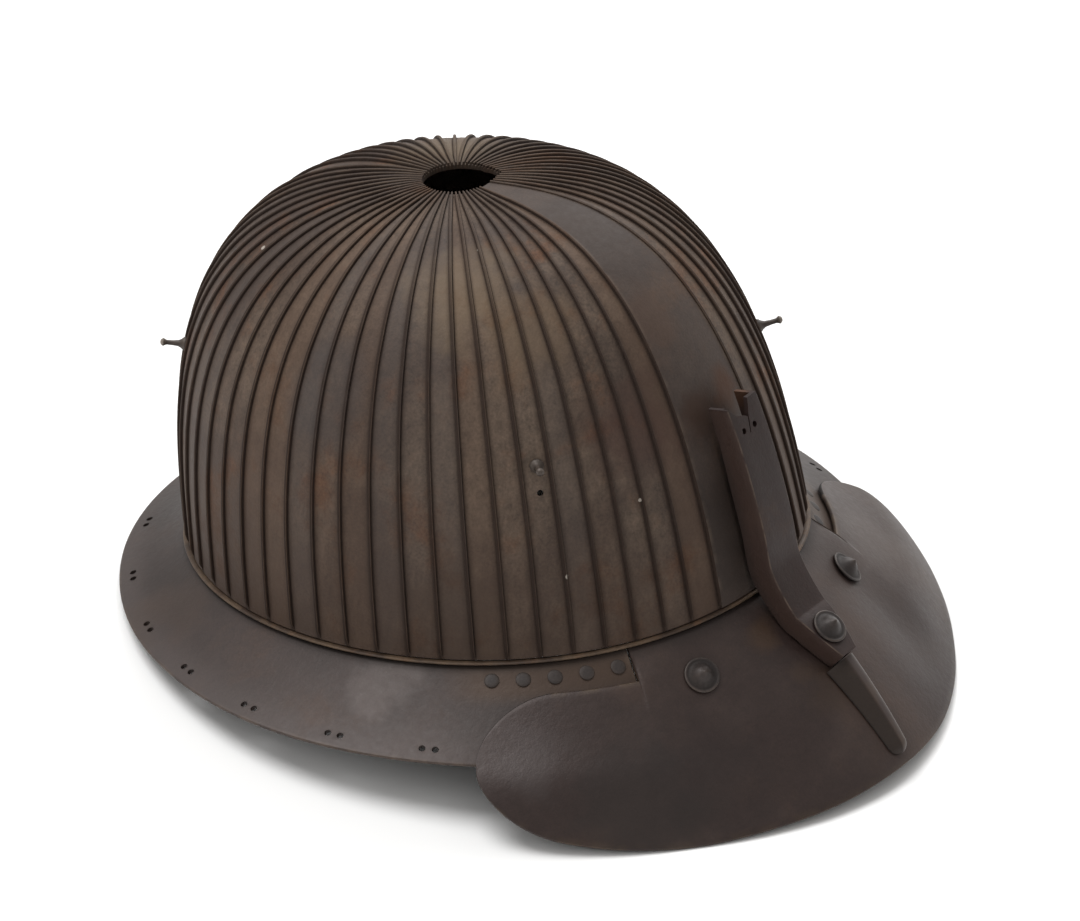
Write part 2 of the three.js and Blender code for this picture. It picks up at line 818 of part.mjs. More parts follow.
// Turned shape that stands on a point along a direction
function turned(profile, sides, base, direction) {
  const points = profile.map(([radius, height]) => new THREE.Vector2(radius, height));
  const geometry = new THREE.LatheGeometry(points, sides);
  const turn = new THREE.Quaternion().setFromUnitVectors(new THREE.Vector3(0, 1, 0), direction);
  geometry.applyQuaternion(turn);
  geometry.translate(base.x, base.y, base.z);
  geometry.deleteAttribute("normal");
  geometry.deleteAttribute("uv");
  const position = geometry.getAttribute("position").array;
  return mergedGeometry(Array.from(position), Array.from(geometry.getIndex().array));
}

function bossProfile() {
  return [
    [0, 0],
    [bossRadius, 0],
    [bossRadius, bossRimHeight],
    [bossRadius - bossRimInset, bossRimHeight],
    ...bossPoint.map(({ radius, height }) => [bossRadius * radius, bossHeight * height]),
    [0, bossHeight],
  ];
}

function addBosses() {
  for (const { name, angle, share } of bossTable) {
    const normal = peakNormal(angle, share);
    const base = peakTop(angle, share).addScaledVector(normal, pieceGap + bossSeatLift);
    addPiece(name, turned(bossProfile(), bossSides, base, normal), iron);
  }
  const curve = holderFootCurve();
  const outward = outwardOf(curve, bossCentrePlace);
  const base = frameAt(curve, bossCentrePlace)(0, holderDepth + pieceGap);
  addPiece("peak_rivet_centre", turned(bossProfile(), bossSides, base, outward), iron);
}

function addStripRivets() {
  for (const side of [1, -1]) {
    for (let i = 0; i < stripRivetsPerSide; i += 1) {
      const angle = side * (stripRivetFirstAngle + stripRivetStep * i);
      const normal = neckNormal(angle, stripRivetShare);
      const lift = pieceGap + stripRivetSeatLift;
      const base = neckPoint(angle, stripRivetShare, 0).addScaledVector(normal, lift);
      const profile = [
        [0, 0],
        [stripRivetRadius, 0],
        [stripRivetRadius * stripRivetTopShare, stripRivetHeight],
        [0, stripRivetHeight],
      ];
      const name = `strip_rivet_${side > 0 ? "right" : "left"}_${i + 1}`;
      addPiece(name, turned(profile, stripRivetSides, base, normal), iron);
    }
  }
}

function pinProfile() {
  return [
    [0, 0],
    [pinRootRadius, 0],
    [pinRootRadius, pinLength * pinSteps.collar],
    [pinShankRadius * pinRootSpread, pinLength * pinSteps.neck],
    [pinShankRadius, pinLength * pinSteps.ball],
    [pinBallRadius, pinLength * pinSteps.wide],
    [pinBallRadius, pinLength * pinSteps.round],
    [0, pinLength],
  ];
}

function addPins() {
  for (const { name, angle, height } of pinPlaces) {
    const share = shareAtHeight(angle, height);
    const normal = skinNormal(angle, share);
    const level = new THREE.Vector3(normal.x, normal.y, 0).normalize();
    const rise = radians(pinRise);
    const direction = level.multiplyScalar(Math.cos(rise)).setZ(Math.sin(rise));
    const tilt = Math.sin(direction.angleTo(normal)) * pinRootRadius;
    const base = bowlPoint(angle, share, tilt + pieceGap - ribSurfaceDrop);
    addPiece(name, turned(pinProfile(), pinSides, base, direction), rustyIron);
  }
}

// The helmet settles back until the peak and the back of the neck plate stand on one level
function restPitch() {
  const peakEdge = peakAngles().map((angle) => peakUnder(angle, peakOuter(angle)));
  const backRows = neckTable.filter(({ angle }) => angle > 90);
  const neckEdge = backRows.map(({ angle }) => neckPoint(angle, 1, -neckWall));
  const span = bowlFrontReach + peakReach + bowlBackReach + neckReach;
  const lowest = (points, pitch) => {
    const heights = points.map(({ y, z }) => z * Math.cos(pitch) + y * Math.sin(pitch));
    return Math.min(...heights);
  };
  let pitch = 0;
  for (let round = 0; round < pitchRounds; round += 1) {
    pitch -= (lowest(neckEdge, pitch) - lowest(peakEdge, pitch)) / span;
  }
  return pitch;
}

addBowl();
addRim();
addNeckPlate();
addPeak();
addHolder();
addRidge();
addBosses();
addStripRivets();
addPins();

helmet.rotation.x = restPitch();
helmet.updateMatrixWorld(true);
const extent = new THREE.Box3().setFromObject(helmet, true);
const middle = extent.getCenter(new THREE.Vector3());
helmet.position.set(-middle.x, -middle.y, -extent.min.z);

export default helmet;
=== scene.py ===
# %% [markdown]
# # An old iron helmet bowl, dressed over its CAD frame
# The real helmet is forged iron: tall narrow plates riveted side by side, each with its front edge
# turned up into a rib, closed by a smooth plate at the front. A peak and a neck plate are riveted
# under the bowl's rim. Everything is built round the bowl's foot in millimetres, as a smith would
# measure it, and moved at the end to where the frame stands, in metres.

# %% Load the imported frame
import math
import random

import bmesh
import bpy
import numpy as np
from mathutils import Matrix, Vector


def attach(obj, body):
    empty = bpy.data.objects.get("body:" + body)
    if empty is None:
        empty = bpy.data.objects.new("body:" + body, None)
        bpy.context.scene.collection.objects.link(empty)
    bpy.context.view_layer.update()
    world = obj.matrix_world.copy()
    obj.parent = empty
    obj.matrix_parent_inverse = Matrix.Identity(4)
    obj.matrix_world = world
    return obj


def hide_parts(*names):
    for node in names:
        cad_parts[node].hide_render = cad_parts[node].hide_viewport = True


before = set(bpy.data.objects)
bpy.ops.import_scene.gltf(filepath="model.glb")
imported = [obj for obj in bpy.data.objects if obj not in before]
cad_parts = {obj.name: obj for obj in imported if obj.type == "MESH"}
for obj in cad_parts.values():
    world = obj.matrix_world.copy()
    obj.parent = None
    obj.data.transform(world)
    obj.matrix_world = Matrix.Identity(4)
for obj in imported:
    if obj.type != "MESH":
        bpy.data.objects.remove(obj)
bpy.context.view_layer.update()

# %% [markdown]
# ## Where the helmet stands
# The helmet leans back until the peak and the back of the neck plate touch the floor. One matrix
# holds that lean and the change from millimetres to metres, so that every piece is built upright
# round its own foot and then goes through the same move. A learner can check it on any point.

# %% From the bowl's own frame to the floor
MM = 0.001
LEAN = -0.15967870691970487
SHIFT = Vector((0.0, 21.089124336883856, 32.981769043705))
TO_FLOOR = Matrix.Scale(MM, 4) @ Matrix.Translation(SHIFT) @ Matrix.Rotation(LEAN, 4, "X")


def on_floor(points):
    """Points of the bowl's frame, in mm, moved to the floor's frame, in metres."""
    grid = np.asarray(points, dtype=float)
    move = np.array(TO_FLOOR)
    return grid @ move[:3, :3].T + move[:3, 3]


print("Lean in degrees:", round(math.degrees(LEAN), 2))

# %% [markdown]
# ## Sizes
# The same named sizes as the frame's source. The bowl's upright section is a rounded square whose
# roundness changes from front to side to back, so a short table holds it.

# %% Sizes of the bowl, its plates and its rim
HALF_WIDTH, FRONT_REACH, BACK_REACH, BOWL_HEIGHT = 101.5, 112.0, 113.0, 130.0
BROW_LIFT, HOLE_RADIUS, HOLE_BACK = 2.0, 12.0, 5.0
ACROSS = {"front": 2.9, "side": 2.1, "back": 2.2}
FOOT_ANGLE = {"front": 25.0, "side": 2.0, "back": 0.0}
UPWARD = 3.5
PLATE_WALL, GAP = 2.0, 0.3
# Room between neighbouring plates, which is closed by dirt in the photograph
PLATE_GAP = 0.1
SURFACE, RIB_THICK, RIB_SHARE = -0.5, 1.0, 0.45
FRONT_HALF, FIRST_PLATE, PLATES = 11.5, 7.0, 26
RIM_TOP, RIM_BOTTOM, RIM_PROUD, RIM_INSET = -0.3, -1.9, 1.3, 2.2
SKIRT_TOP = RIM_BOTTOM - GAP


def plate_angles():
    """Angles of the plates' front edges on one side, counted from the front, and the last edge."""
    rest = 180 - 2 * FRONT_HALF - FIRST_PLATE
    steps = [FRONT_HALF + FIRST_PLATE + rest * i / (PLATES - 1) for i in range(PLATES)]
    return [FRONT_HALF] + steps


# %% [markdown]
# ## The bowl's skin as a formula
# A point of the skin has two numbers: its angle round the bowl from the front, positive to the
# wearer's right, and its share of the way from the foot to the crown hole. Numpy works whole
# arrays of them out at once, for the pieces that are placed on the bowl.


# %% Skin of the bowl
def blend(angle, ends):
    along = np.cos(np.radians(angle))
    end = np.where(along > 0, ends["front"], ends["back"])
    return end * along**2 + ends["side"] * (1 - along**2)


def brow(angle):
    return BROW_LIFT * np.maximum(np.cos(np.radians(angle)), 0) ** 6


def skin(angle, share):
    """Point of the bowl's outer skin, for numbers or arrays."""
    angle, share = np.broadcast_arrays(np.asarray(angle, float), np.asarray(share, float))
    turn = np.radians(angle)
    reach = np.where(np.cos(turn) > 0, FRONT_REACH, BACK_REACH)
    foot_x, foot_y = -HALF_WIDTH * np.sin(turn), -reach * np.cos(turn)
    start = np.radians(blend(angle, FOOT_ANGLE))
    sweep = start + share * (np.pi / 2 - 1e-6 - start)
    inward = (np.cos(sweep) / np.cos(start)) ** (2 / blend(angle, ACROSS))
    low = np.sin(start) ** (2 / UPWARD)
    upward = (np.sin(sweep) ** (2 / UPWARD) - low) / (1 - low)
    hole_x, hole_y = -HOLE_RADIUS * np.sin(turn), -HOLE_RADIUS * np.cos(turn)
    return np.stack(
        [
            hole_x + (foot_x - hole_x) * inward,
            hole_y + (foot_y - hole_y) * inward + HOLE_BACK * (1 - inward),
            brow(angle) + (BOWL_HEIGHT - brow(angle)) * upward,
        ],
        axis=-1,
    )


def unit(vectors):
    return vectors / np.linalg.norm(vectors, axis=-1, keepdims=True)


def skin_normal(angle, share):
    share = np.asarray(share, float)
    up = skin(angle, np.minimum(share + 0.02, 1)) - skin(angle, np.maximum(share - 0.02, 0))
    around = skin(angle + 0.5, share) - skin(angle - 0.5, share)
    return unit(np.cross(up, around))


def share_at_height(angle, height):
    low, high = 0.0, 1.0
    for _ in range(40):
        middle = (low + high) / 2
        low, high = (middle, high) if skin(angle, middle)[2] < height else (low, middle)
    return low


print("Top of the skin at the side:", skin(90, 0.5).round(1))

# %% [markdown]
# ## The skirts as formulas
# The neck plate and the peak leave the bowl's foot outwards and down. How far they reach and drop
# at each angle stands in a table, and a smooth cubic runs through its rows. The peak's wings lie on
# the neck plate, so the peak is lifted there until it clears it.

# %% Sizes and tables of the skirts
NECK_WALL, NECK_REACH, NECK_DROP, NECK_END, NECK_HOLLOW = 1.5, 32.5, 29.0, 30.5, 1.0
NECK_TABLE = {
    "angle": [30, 60, 90, 120, 150, 180],
    "reach": [0.82, 0.93, 1.0, 0.89, 0.74, 0.66],
    "drop": [1.0, 0.81, 0.64, 0.52, 0.42, 0.36],
}
PEAK_WALL, PEAK_REACH, PEAK_DROP, PEAK_TIP = 1.6, 53.0, 55.5, 57.8
PEAK_TABLE = {
    "angle": [0, 10, 20, 30, 40, 50, 60],
    "reach": [1.03, 1.0, 0.95, 0.915, 0.905, 0.885, 0.87],
    "drop": [0.965, 0.985, 0.99, 0.975, 0.91, 0.81, 0.7],
    "swell": [0.075, 0.05, 0.015, 0.01, 0.02, 0.035, 0.05],
}
STEP_SHARE, WING_MIDDLE, INNER_ROUND, OUTER_ROUND = 0.2, 0.66, 44.0, 46.0
CORNER_POWER = {1: 2.3, -1: 1.7}
WING_CLEAR, WING_RISE, NECK_STEP = 0.5, 16.0, 0.38
WING_COVER = (1.06, 1.8)


# %% Skirt surfaces
def table_value(table, key, angle):
    """Cubic through a table's rows, level at the front and at the back."""
    rows, angles = table[key], table["angle"]
    place = (abs(angle) - angles[0]) / (angles[1] - angles[0])
    last = len(rows) - 2
    i = min(max(math.floor(place), 0), last)
    t = place - i
    a, b = rows[i], rows[i + 1]
    before, after = rows[max(i - 1, 0)], rows[min(i + 2, last + 1)]
    first_slope = 0 if i == 0 and angles[0] == 0 else (b - before) / (1 if i == 0 else 2)
    last_slope = 0 if i == last and angles[-1] == 180 else (after - a) / (1 if i == last else 2)
    return (
        a * (2 * t**3 - 3 * t**2 + 1)
        + first_slope * (t**3 - 2 * t**2 + t)
        + b * (3 * t**2 - 2 * t**3)
        + last_slope * (t**3 - t**2)
    )


def foot_reach(angle):
    turn = math.radians(angle)
    reach = FRONT_REACH if math.cos(turn) > 0 else BACK_REACH
    return 1 / math.hypot(math.sin(turn) / HALF_WIDTH, math.cos(turn) / reach)


def skirt(angle, share, lift, reach, drop, swell):
    share, lift = np.broadcast_arrays(np.asarray(share, float), np.asarray(lift, float))
    slope = math.hypot(reach, drop)
    bulge = swell * 4 * share * (1 - share) + lift
    out = foot_reach(angle) + reach * share + drop / slope * bulge
    height = brow(angle) * (1 - share) + SKIRT_TOP - drop * share + reach / slope * bulge
    turn = math.radians(angle)
    return np.stack([-out * math.sin(turn), -out * math.cos(turn), height], axis=-1)


def neck(angle, share, lift=0.0):
    reach = NECK_REACH * table_value(NECK_TABLE, "reach", angle)
    drop = NECK_DROP * table_value(NECK_TABLE, "drop", angle) + SKIRT_TOP
    return skirt(angle, share, lift, reach, drop, -NECK_HOLLOW)


def neck_normal(angle, share):
    return unit(neck(angle, share, 1.0) - neck(angle, share, 0.0))


def peak(angle, share, lift=0.0):
    reach = PEAK_REACH * table_value(PEAK_TABLE, "reach", angle)
    drop = PEAK_DROP * table_value(PEAK_TABLE, "drop", angle) + SKIRT_TOP
    return skirt(angle, share, lift, reach, drop, PEAK_REACH * table_value(PEAK_TABLE, "swell", angle))


def peak_normal(angle, share):
    share = np.asarray(share, float)
    down = peak(angle, share + 0.01) - peak(angle, share - 0.01)
    around = peak(angle + 0.5, share) - peak(angle - 0.5, share)
    return unit(np.cross(around, down))


def smooth(value, low, high):
    t = np.clip((value - low) / (high - low), 0, 1)
    return t * t * (3 - 2 * t)


def peak_under(angle, share):
    points = peak(angle, share, -PEAK_WALL)
    out = np.hypot(points[..., 0], points[..., 1])
    neck_share = (out - foot_reach(angle)) / (NECK_REACH * table_value(NECK_TABLE, "reach", angle))
    rise = smooth(abs(angle), WING_RISE, NECK_END - 0.5) * smooth(neck_share, 0, NECK_STEP)
    rise = rise * (1 - smooth(neck_share, *WING_COVER))
    floor = neck(angle, neck_share)[..., 2] + WING_CLEAR / neck_normal(angle, 0.5)[2]
    points[..., 2] += np.maximum(floor - points[..., 2], 0) * rise
    return points


def peak_top(angle, share):
    return peak_under(angle, share) + peak_normal(angle, share) * PEAK_WALL


def peak_span(angle):
    """Inner and outer ends of the peak at an angle, as shares of its slope."""
    size = abs(angle)
    power = CORNER_POWER[1 if angle > 0 else -1]
    past = max(size - OUTER_ROUND, 0) / (PEAK_TIP - OUTER_ROUND)
    outer = WING_MIDDLE + (1 - WING_MIDDLE) * max(1 - past**power, 0) ** (1 / power)
    if size < NECK_END:
        return 0.0, outer
    past = max(size - INNER_ROUND, 0) / (PEAK_TIP - INNER_ROUND)
    return WING_MIDDLE - (WING_MIDDLE - STEP_SHARE) * math.sqrt(max(1 - past**2, 0)), outer


print("Brim in front of the bowl:", peak_top(0, 1.0).round(1))

# %% [markdown]
# ## The camera and the studio
# The photograph was taken from the wearer's right and above with a long lens. The angles below come
# from fitting a camera to the bowl's ribs. The floor is plain and pale, and large, because the side
# views stand far back. A wide soft light overhead and a pale sky give the satin iron its slow shades.

# %% Camera, floor and lights
CAMERA = {"azimuth": -52.388, "elevation": 26.848, "roll": -4.51}
# The camera's place from the bowl's foot: along its own right, up and back, in mm
CAMERA_PLACE = (15.21, 20.13, 2771.8)
FOCAL_PIXELS, PHOTO_WIDTH, SENSOR_WIDTH, FAR_END = 7937.64, 1080, 36, 100
FLOOR_HALF = 14
# Lights: place, size and power
LIGHTS = {
    "overhead": ((-0.3, 0.9, 2.3), 1.8, 44),
    "window": ((-2.4, 0.6, 1.6), 1.6, 5),
    "far side": ((2.0, 0.5, 1.8), 1.7, 36),
}
ROOM_COLOUR, ROOM_STRENGTH = (0.94, 0.93, 0.91, 1), 0.64


def add_camera():
    a, e, r = (math.radians(CAMERA[key]) for key in ("azimuth", "elevation", "roll"))
    right = Vector((math.cos(a), math.sin(a), 0))
    back = Vector((math.sin(a) * math.cos(e), -math.cos(a) * math.cos(e), math.sin(e)))
    up = back.cross(right)
    side = right * math.cos(r) + up * math.sin(r)
    top = up * math.cos(r) - right * math.sin(r)
    centre = side * CAMERA_PLACE[0] + top * CAMERA_PLACE[1] + back * CAMERA_PLACE[2]
    lens = bpy.data.cameras.new("view")
    lens.sensor_width = SENSOR_WIDTH
    lens.lens = FOCAL_PIXELS / PHOTO_WIDTH * SENSOR_WIDTH
    lens.clip_end = FAR_END
    camera = bpy.data.objects.new("view", lens)
    bpy.context.scene.collection.objects.link(camera)
    turn = Matrix.Rotation(LEAN, 3, "X") @ Matrix((side, top, back)).transposed()
    camera.matrix_world = Matrix.Translation(Vector(on_floor(centre))) @ turn.to_4x4()
    bpy.context.scene.camera = camera
    return camera


def add_floor(size):
    mesh = bpy.data.meshes.new("floor")
    corners = [(-size, -size, 0), (size, -size, 0), (size, size, 0), (-size, size, 0)]
    mesh.from_pydata(corners, [], [(0, 1, 2, 3)])
    floor = bpy.data.objects.new("floor", mesh)
    bpy.context.scene.collection.objects.link(floor)
    return floor


def add_area_light(name, place, size, power):
    lamp = bpy.data.lights.new(name, "AREA")
    lamp.shape, lamp.size, lamp.energy = "DISK", size, power
    light = bpy.data.objects.new(name, lamp)
    light.location = place
    light.rotation_euler = (-Vector(place)).to_track_quat("-Z", "Y").to_euler()
    bpy.context.scene.collection.objects.link(light)


camera = add_camera()
floor = add_floor(FLOOR_HALF)
for name, (place, size, power) in LIGHTS.items():
    add_area_light(name, place, size, power)
world = bpy.data.worlds.new("pale room")
world.use_nodes = True
room = world.node_tree.nodes["Background"]
room.inputs["Color"].default_value = ROOM_COLOUR
room.inputs["Strength"].default_value = ROOM_STRENGTH
bpy.context.scene.world = world
bpy.context.scene.view_settings.view_transform = "Standard"
print("Lens:", round(camera.data.lens, 1), "mm, camera at", [round(v, 3) for v in camera.location])

# %% [markdown]
# ## Reading formulas in a node tree
# Geometry Nodes and materials both work with little arithmetic nodes. Wiring dozens of them by hand
# hides the formula, so a small class stands for one value in a tree and turns plus, times and power
# into the nodes that do them. The tree stays an ordinary one that can be opened and read.


# %% A value inside a node tree
class Term:
    """One number in a node tree; arithmetic on it adds the nodes."""

    def __init__(self, tree, socket):
        self.tree, self.socket = tree, socket

    def step(self, kind, operation, terms):
        node = self.tree.nodes.new(kind)
        node.operation = operation
        for slot, term in zip(node.inputs, terms):
            wire(self.tree, term, slot)
        return node

    def math(self, operation, *terms):
        node = self.step("ShaderNodeMath", operation, (self, *terms))
        return Term(self.tree, node.outputs[0])

    def vector(self, operation, *terms, output=0):
        node = self.step("ShaderNodeVectorMath", operation, (self, *terms))
        return Term(self.tree, node.outputs[output])

    def __add__(self, other):
        return self.math("ADD", other)

    def __radd__(self, other):
        return self.math("ADD", other)

    def __sub__(self, other):
        return self.math("SUBTRACT", other)

    def __rsub__(self, other):
        return self.math("MULTIPLY_ADD", -1.0, other)

    def __mul__(self, other):
        return self.math("MULTIPLY", other)

    def __rmul__(self, other):
        return self.math("MULTIPLY", other)

    def __truediv__(self, other):
        return self.math("DIVIDE", other)

    def __pow__(self, other):
        return self.math("POWER", other)


def wire(tree, value, slot):
    """Links a term or a socket to a slot, or writes a plain value there."""
    if isinstance(value, Term):
        tree.links.new(value.socket, slot)
    elif isinstance(value, bpy.types.NodeSocket):
        tree.links.new(value, slot)
    else:
        slot.default_value = value


def vector_of(tree, x, y, z):
    node = tree.nodes.new("ShaderNodeCombineXYZ")
    for slot, value in zip(node.inputs, (x, y, z)):
        wire(tree, value, slot)
    return Term(tree, node.outputs[0])


def fade(tree, value, low, high, start=0.0, end=1.0):
    """Smooth step from start to end as value goes from low to high."""
    node = tree.nodes.new("ShaderNodeMapRange")
    node.interpolation_type = "SMOOTHSTEP"
    ends = {"From Min": low, "From Max": high, "To Min": start, "To Max": end}
    for name, part in {"Value": value, **ends}.items():
        wire(tree, part, node.inputs[name])
    return Term(tree, node.outputs[0])


def noise_at(tree, place, scale, detail=2.0, roughness=0.5):
    node = tree.nodes.new("ShaderNodeTexNoise")
    wire(tree, place, node.inputs["Vector"])
    wire(tree, scale, node.inputs["Scale"])
    node.inputs["Detail"].default_value = detail
    node.inputs["Roughness"].default_value = roughness
    return Term(tree, node.outputs[0])


def new_group(name, kind, inputs, outputs):
    """Node group with named sockets; inputs map a name to (socket type, default)."""
    tree = bpy.data.node_groups.new(name, kind)
    for label, (socket, default) in inputs.items():
        item = tree.interface.new_socket(label, in_out="INPUT", socket_type=socket)
        if default is not None:
            item.default_value = default
    for label, socket in outputs.items():
        tree.interface.new_socket(label, in_out="OUTPUT", socket_type=socket)
    given = tree.nodes.new("NodeGroupInput")
    result = tree.nodes.new("NodeGroupOutput")
    terms = {label: Term(tree, given.outputs[label]) for label in inputs}
    return tree, terms, result


def group_node(tree, kind, group, **values):
    node = tree.nodes.new(kind)
    node.node_tree = group
    for label, value in values.items():
        wire(tree, value, node.inputs[label.replace("_", " ")])
    return node


NUMBER, VECTOR, COLOUR, SHAPE = (
    "NodeSocketFloat",
    "NodeSocketVector",
    "NodeSocketColor",
    "NodeSocketGeometry",
)

# %% [markdown]
# ## The bowl's skin as a node group
# The same formula as above, now in nodes, so that the plates' tree can bend flat plates over the
# bowl. Its sizes are named inputs, so another bowl only needs other numbers.


# %% Node group for the skin
def build_skin_group():
    sizes = {
        "Half Width": HALF_WIDTH,
        "Front Reach": FRONT_REACH,
        "Back Reach": BACK_REACH,
        "Height": BOWL_HEIGHT,
        "Brow Lift": BROW_LIFT,
        "Hole Radius": HOLE_RADIUS,
        "Hole Set Back": HOLE_BACK,
        "Upward Power": UPWARD,
    }
    inputs = {"Angle": (NUMBER, 0.0), "Share": (NUMBER, 0.0)}
    inputs.update({label: (NUMBER, size) for label, size in sizes.items()})
    tree, given, result = new_group(
        "Bowl Skin", "GeometryNodeTree", inputs, {"Place": VECTOR, "Above Foot": NUMBER}
    )
    turn = given["Angle"] * math.radians(1)
    cosine, sine = turn.math("COSINE"), turn.math("SINE")
    front = cosine.math("GREATER_THAN", 0.0)
    along = cosine * cosine

    def section(ends):
        end = front * (ends["front"] - ends["back"]) + ends["back"]
        return end * along + (1.0 - along) * ends["side"]

    reach = front * (given["Front Reach"] - given["Back Reach"]) + given["Back Reach"]
    foot_z = cosine.math("MAXIMUM", 0.0) ** 6.0 * given["Brow Lift"]
    foot_x, foot_y = sine * given["Half Width"] * -1.0, cosine * reach * -1.0
    start = section(FOOT_ANGLE) * math.radians(1)
    sweep = start + given["Share"] * ((math.pi / 2 - 1e-6) - start)
    across_power = section(ACROSS).math("POWER", -1.0) * 2.0
    inward = (sweep.math("COSINE") / start.math("COSINE")) ** across_power
    upward_power = given["Upward Power"].math("POWER", -1.0) * 2.0
    low = start.math("SINE") ** upward_power
    upward = (sweep.math("SINE") ** upward_power - low) / (1.0 - low)
    hole_x, hole_y = sine * given["Hole Radius"] * -1.0, cosine * given["Hole Radius"] * -1.0
    x = hole_x + (foot_x - hole_x) * inward
    y = hole_y + (foot_y - hole_y) * inward + given["Hole Set Back"] * (1.0 - inward)
    climb = (given["Height"] - foot_z) * upward
    wire(tree, vector_of(tree, x, y, foot_z + climb), result.inputs["Place"])
    wire(tree, climb, result.inputs["Above Foot"])
    return tree


SKIN_GROUP = build_skin_group()
print("Nodes in the skin group:", len(SKIN_GROUP.nodes))

# %% [markdown]
# ## The plates' tree
# A smith turns up the front edge of each flat plate and then hammers the plate to the bowl's curve.
# The script does the same: Python cuts a flat plate as a table of points that say on which edge they
# lie and how high they stand, and this tree bends it over the skin. The rib keeps its thickness until
# the plates crowd at the crown, sinks away just above the rim, and wanders a little, as hand work does.


# %% Tree that bends plates over the bowl
def attribute(tree, name):
    node = tree.nodes.new("GeometryNodeInputNamedAttribute")
    node.data_type = "FLOAT"
    node.inputs["Name"].default_value = name
    return Term(tree, node.outputs["Attribute"])


def build_plate_tree():
    numbers = {
        "Middle Angle": 0.0,
        "Pitch": 6.0,
        "Side": 1.0,
        "Rib Thickness": RIB_THICK,
        "Largest Share": RIB_SHARE,
        "Gap": PLATE_GAP,
        "Fade Start": 0.5,
        "Fade End": 3.4,
        "Wander": 0.5,
        "Dents": 0.25,
        "Seed": 7.0,
    }
    inputs = {"Geometry": (SHAPE, None), "Iron": ("NodeSocketMaterial", None)}
    inputs.update({label: (NUMBER, value) for label, value in numbers.items()})
    tree, given, result = new_group("Plates Over Bowl", "GeometryNodeTree", inputs, {"Geometry": SHAPE})
    share = attribute(tree, "share")
    side = given["Side"]

    def bent(angle, height):
        node = group_node(tree, "GeometryNodeGroup", SKIN_GROUP, Angle=angle, Share=height)
        return Term(tree, node.outputs["Place"]), Term(tree, node.outputs["Above Foot"])

    before, _ = bent(given["Middle Angle"] - 0.5, share)
    after, _ = bent(given["Middle Angle"] + 0.5, share)
    scale = before.vector("DISTANCE", after, output=1)
    thick = (given["Rib Thickness"] / scale).math("MINIMUM", given["Pitch"] * given["Largest Share"])
    gap = (given["Gap"] * 0.5 / scale).math("MINIMUM", given["Pitch"] * 0.25)
    edge = attribute(tree, "place")
    wander_at = vector_of(tree, edge * side * 0.21, share * 5.0, given["Seed"])
    drift = (noise_at(tree, wander_at, 1.0) - 0.5) * given["Wander"] / scale.math("MAXIMUM", 0.7)
    angle = (edge + attribute(tree, "wide") * thick + attribute(tree, "side") * gap + drift) * side
    place, above = bent(angle, share)
    low, _ = bent(angle, (share - 0.02).math("MAXIMUM", 0.0))
    high, _ = bent(angle, (share + 0.02).math("MINIMUM", 1.0))
    left, _ = bent(angle - 0.5, share)
    right, _ = bent(angle + 0.5, share)
    up, around = high.vector("SUBTRACT", low), right.vector("SUBTRACT", left)
    normal = up.vector("CROSS_PRODUCT", around).vector("NORMALIZE")
    full = fade(tree, above, given["Fade Start"], given["Fade End"])
    sunk, proud = attribute(tree, "sunk"), attribute(tree, "proud")
    dent_at = vector_of(tree, angle * 0.06, share * 4.0, given["Seed"] + 3.0)
    dent = (noise_at(tree, dent_at, 2.2) - 0.5) * given["Dents"]
    lift = sunk + (proud - sunk) * full + dent
    raised = vector_of(tree, lift, lift, lift)
    spot = place.vector("ADD", normal.vector("MULTIPLY", raised))
    setter = tree.nodes.new("GeometryNodeSetPosition")
    wire(tree, given["Geometry"], setter.inputs["Geometry"])
    wire(tree, spot, setter.inputs["Position"])
    finish_tree(tree, setter.outputs[0], given["Iron"], result)
    return tree


def finish_tree(tree, shape, iron, result, realize=False):
    """Sets the piece down on the floor in metres and gives it its material."""
    move = tree.nodes.new("GeometryNodeTransform")
    wire(tree, shape, move.inputs["Geometry"])
    move.inputs["Translation"].default_value = SHIFT * MM
    move.inputs["Rotation"].default_value = (LEAN, 0, 0)
    move.inputs["Scale"].default_value = (MM, MM, MM)
    shape = move.outputs[0]
    if realize:
        real = tree.nodes.new("GeometryNodeRealizeInstances")
        wire(tree, shape, real.inputs[0])
        shape = real.outputs[0]
    paint = tree.nodes.new("GeometryNodeSetMaterial")
    wire(tree, shape, paint.inputs["Geometry"])
    wire(tree, iron, paint.inputs["Material"])
    wire(tree, paint.outputs[0], result.inputs["Geometry"])


PLATE_TREE = build_plate_tree()
print("Nodes in the plates' tree:", len(PLATE_TREE.nodes))

# %% [markdown]
# ## Turning a tree into a piece
# A modifier's inputs are set by their identifiers before the piece is first worked out. The result is
# then copied into a plain mesh and the modifier goes, so the piece is an ordinary mesh from then on.
# Closed solids get their faces turned outwards, and edges sharper than a limit stay crisp.


# %% Helpers that make plain pieces
# Angles in degrees from which an edge stays crisp
PLATE_CREASE, SHEET_CREASE, RIVET_CREASE, PIN_CREASE, RIM_CREASE = 35, 40, 45, 50, 60
# Distances in metres under which points or edges are merged
MERGE, SHORTEST = 1e-6, 1e-7


def link(name, mesh):
    """New piece; the word before the CAD node's plain name says that it is dressed."""
    dressed = name if name.startswith("iron_") else "iron_" + name
    piece = bpy.data.objects.new(dressed, mesh)
    bpy.context.scene.collection.objects.link(piece)
    return piece


def bake_tree(name, source, tree, settings):
    """Runs a tree over a source mesh and keeps the result as a plain piece."""
    carrier = link(name + "_source", source)
    modifier = carrier.modifiers.new("tree", "NODES")
    modifier.node_group = tree
    names = {item.name: item.identifier for item in tree.interface.items_tree if item.in_out == "INPUT"}
    for label, value in settings.items():
        modifier[names[label]] = value
    return settle(name, carrier)


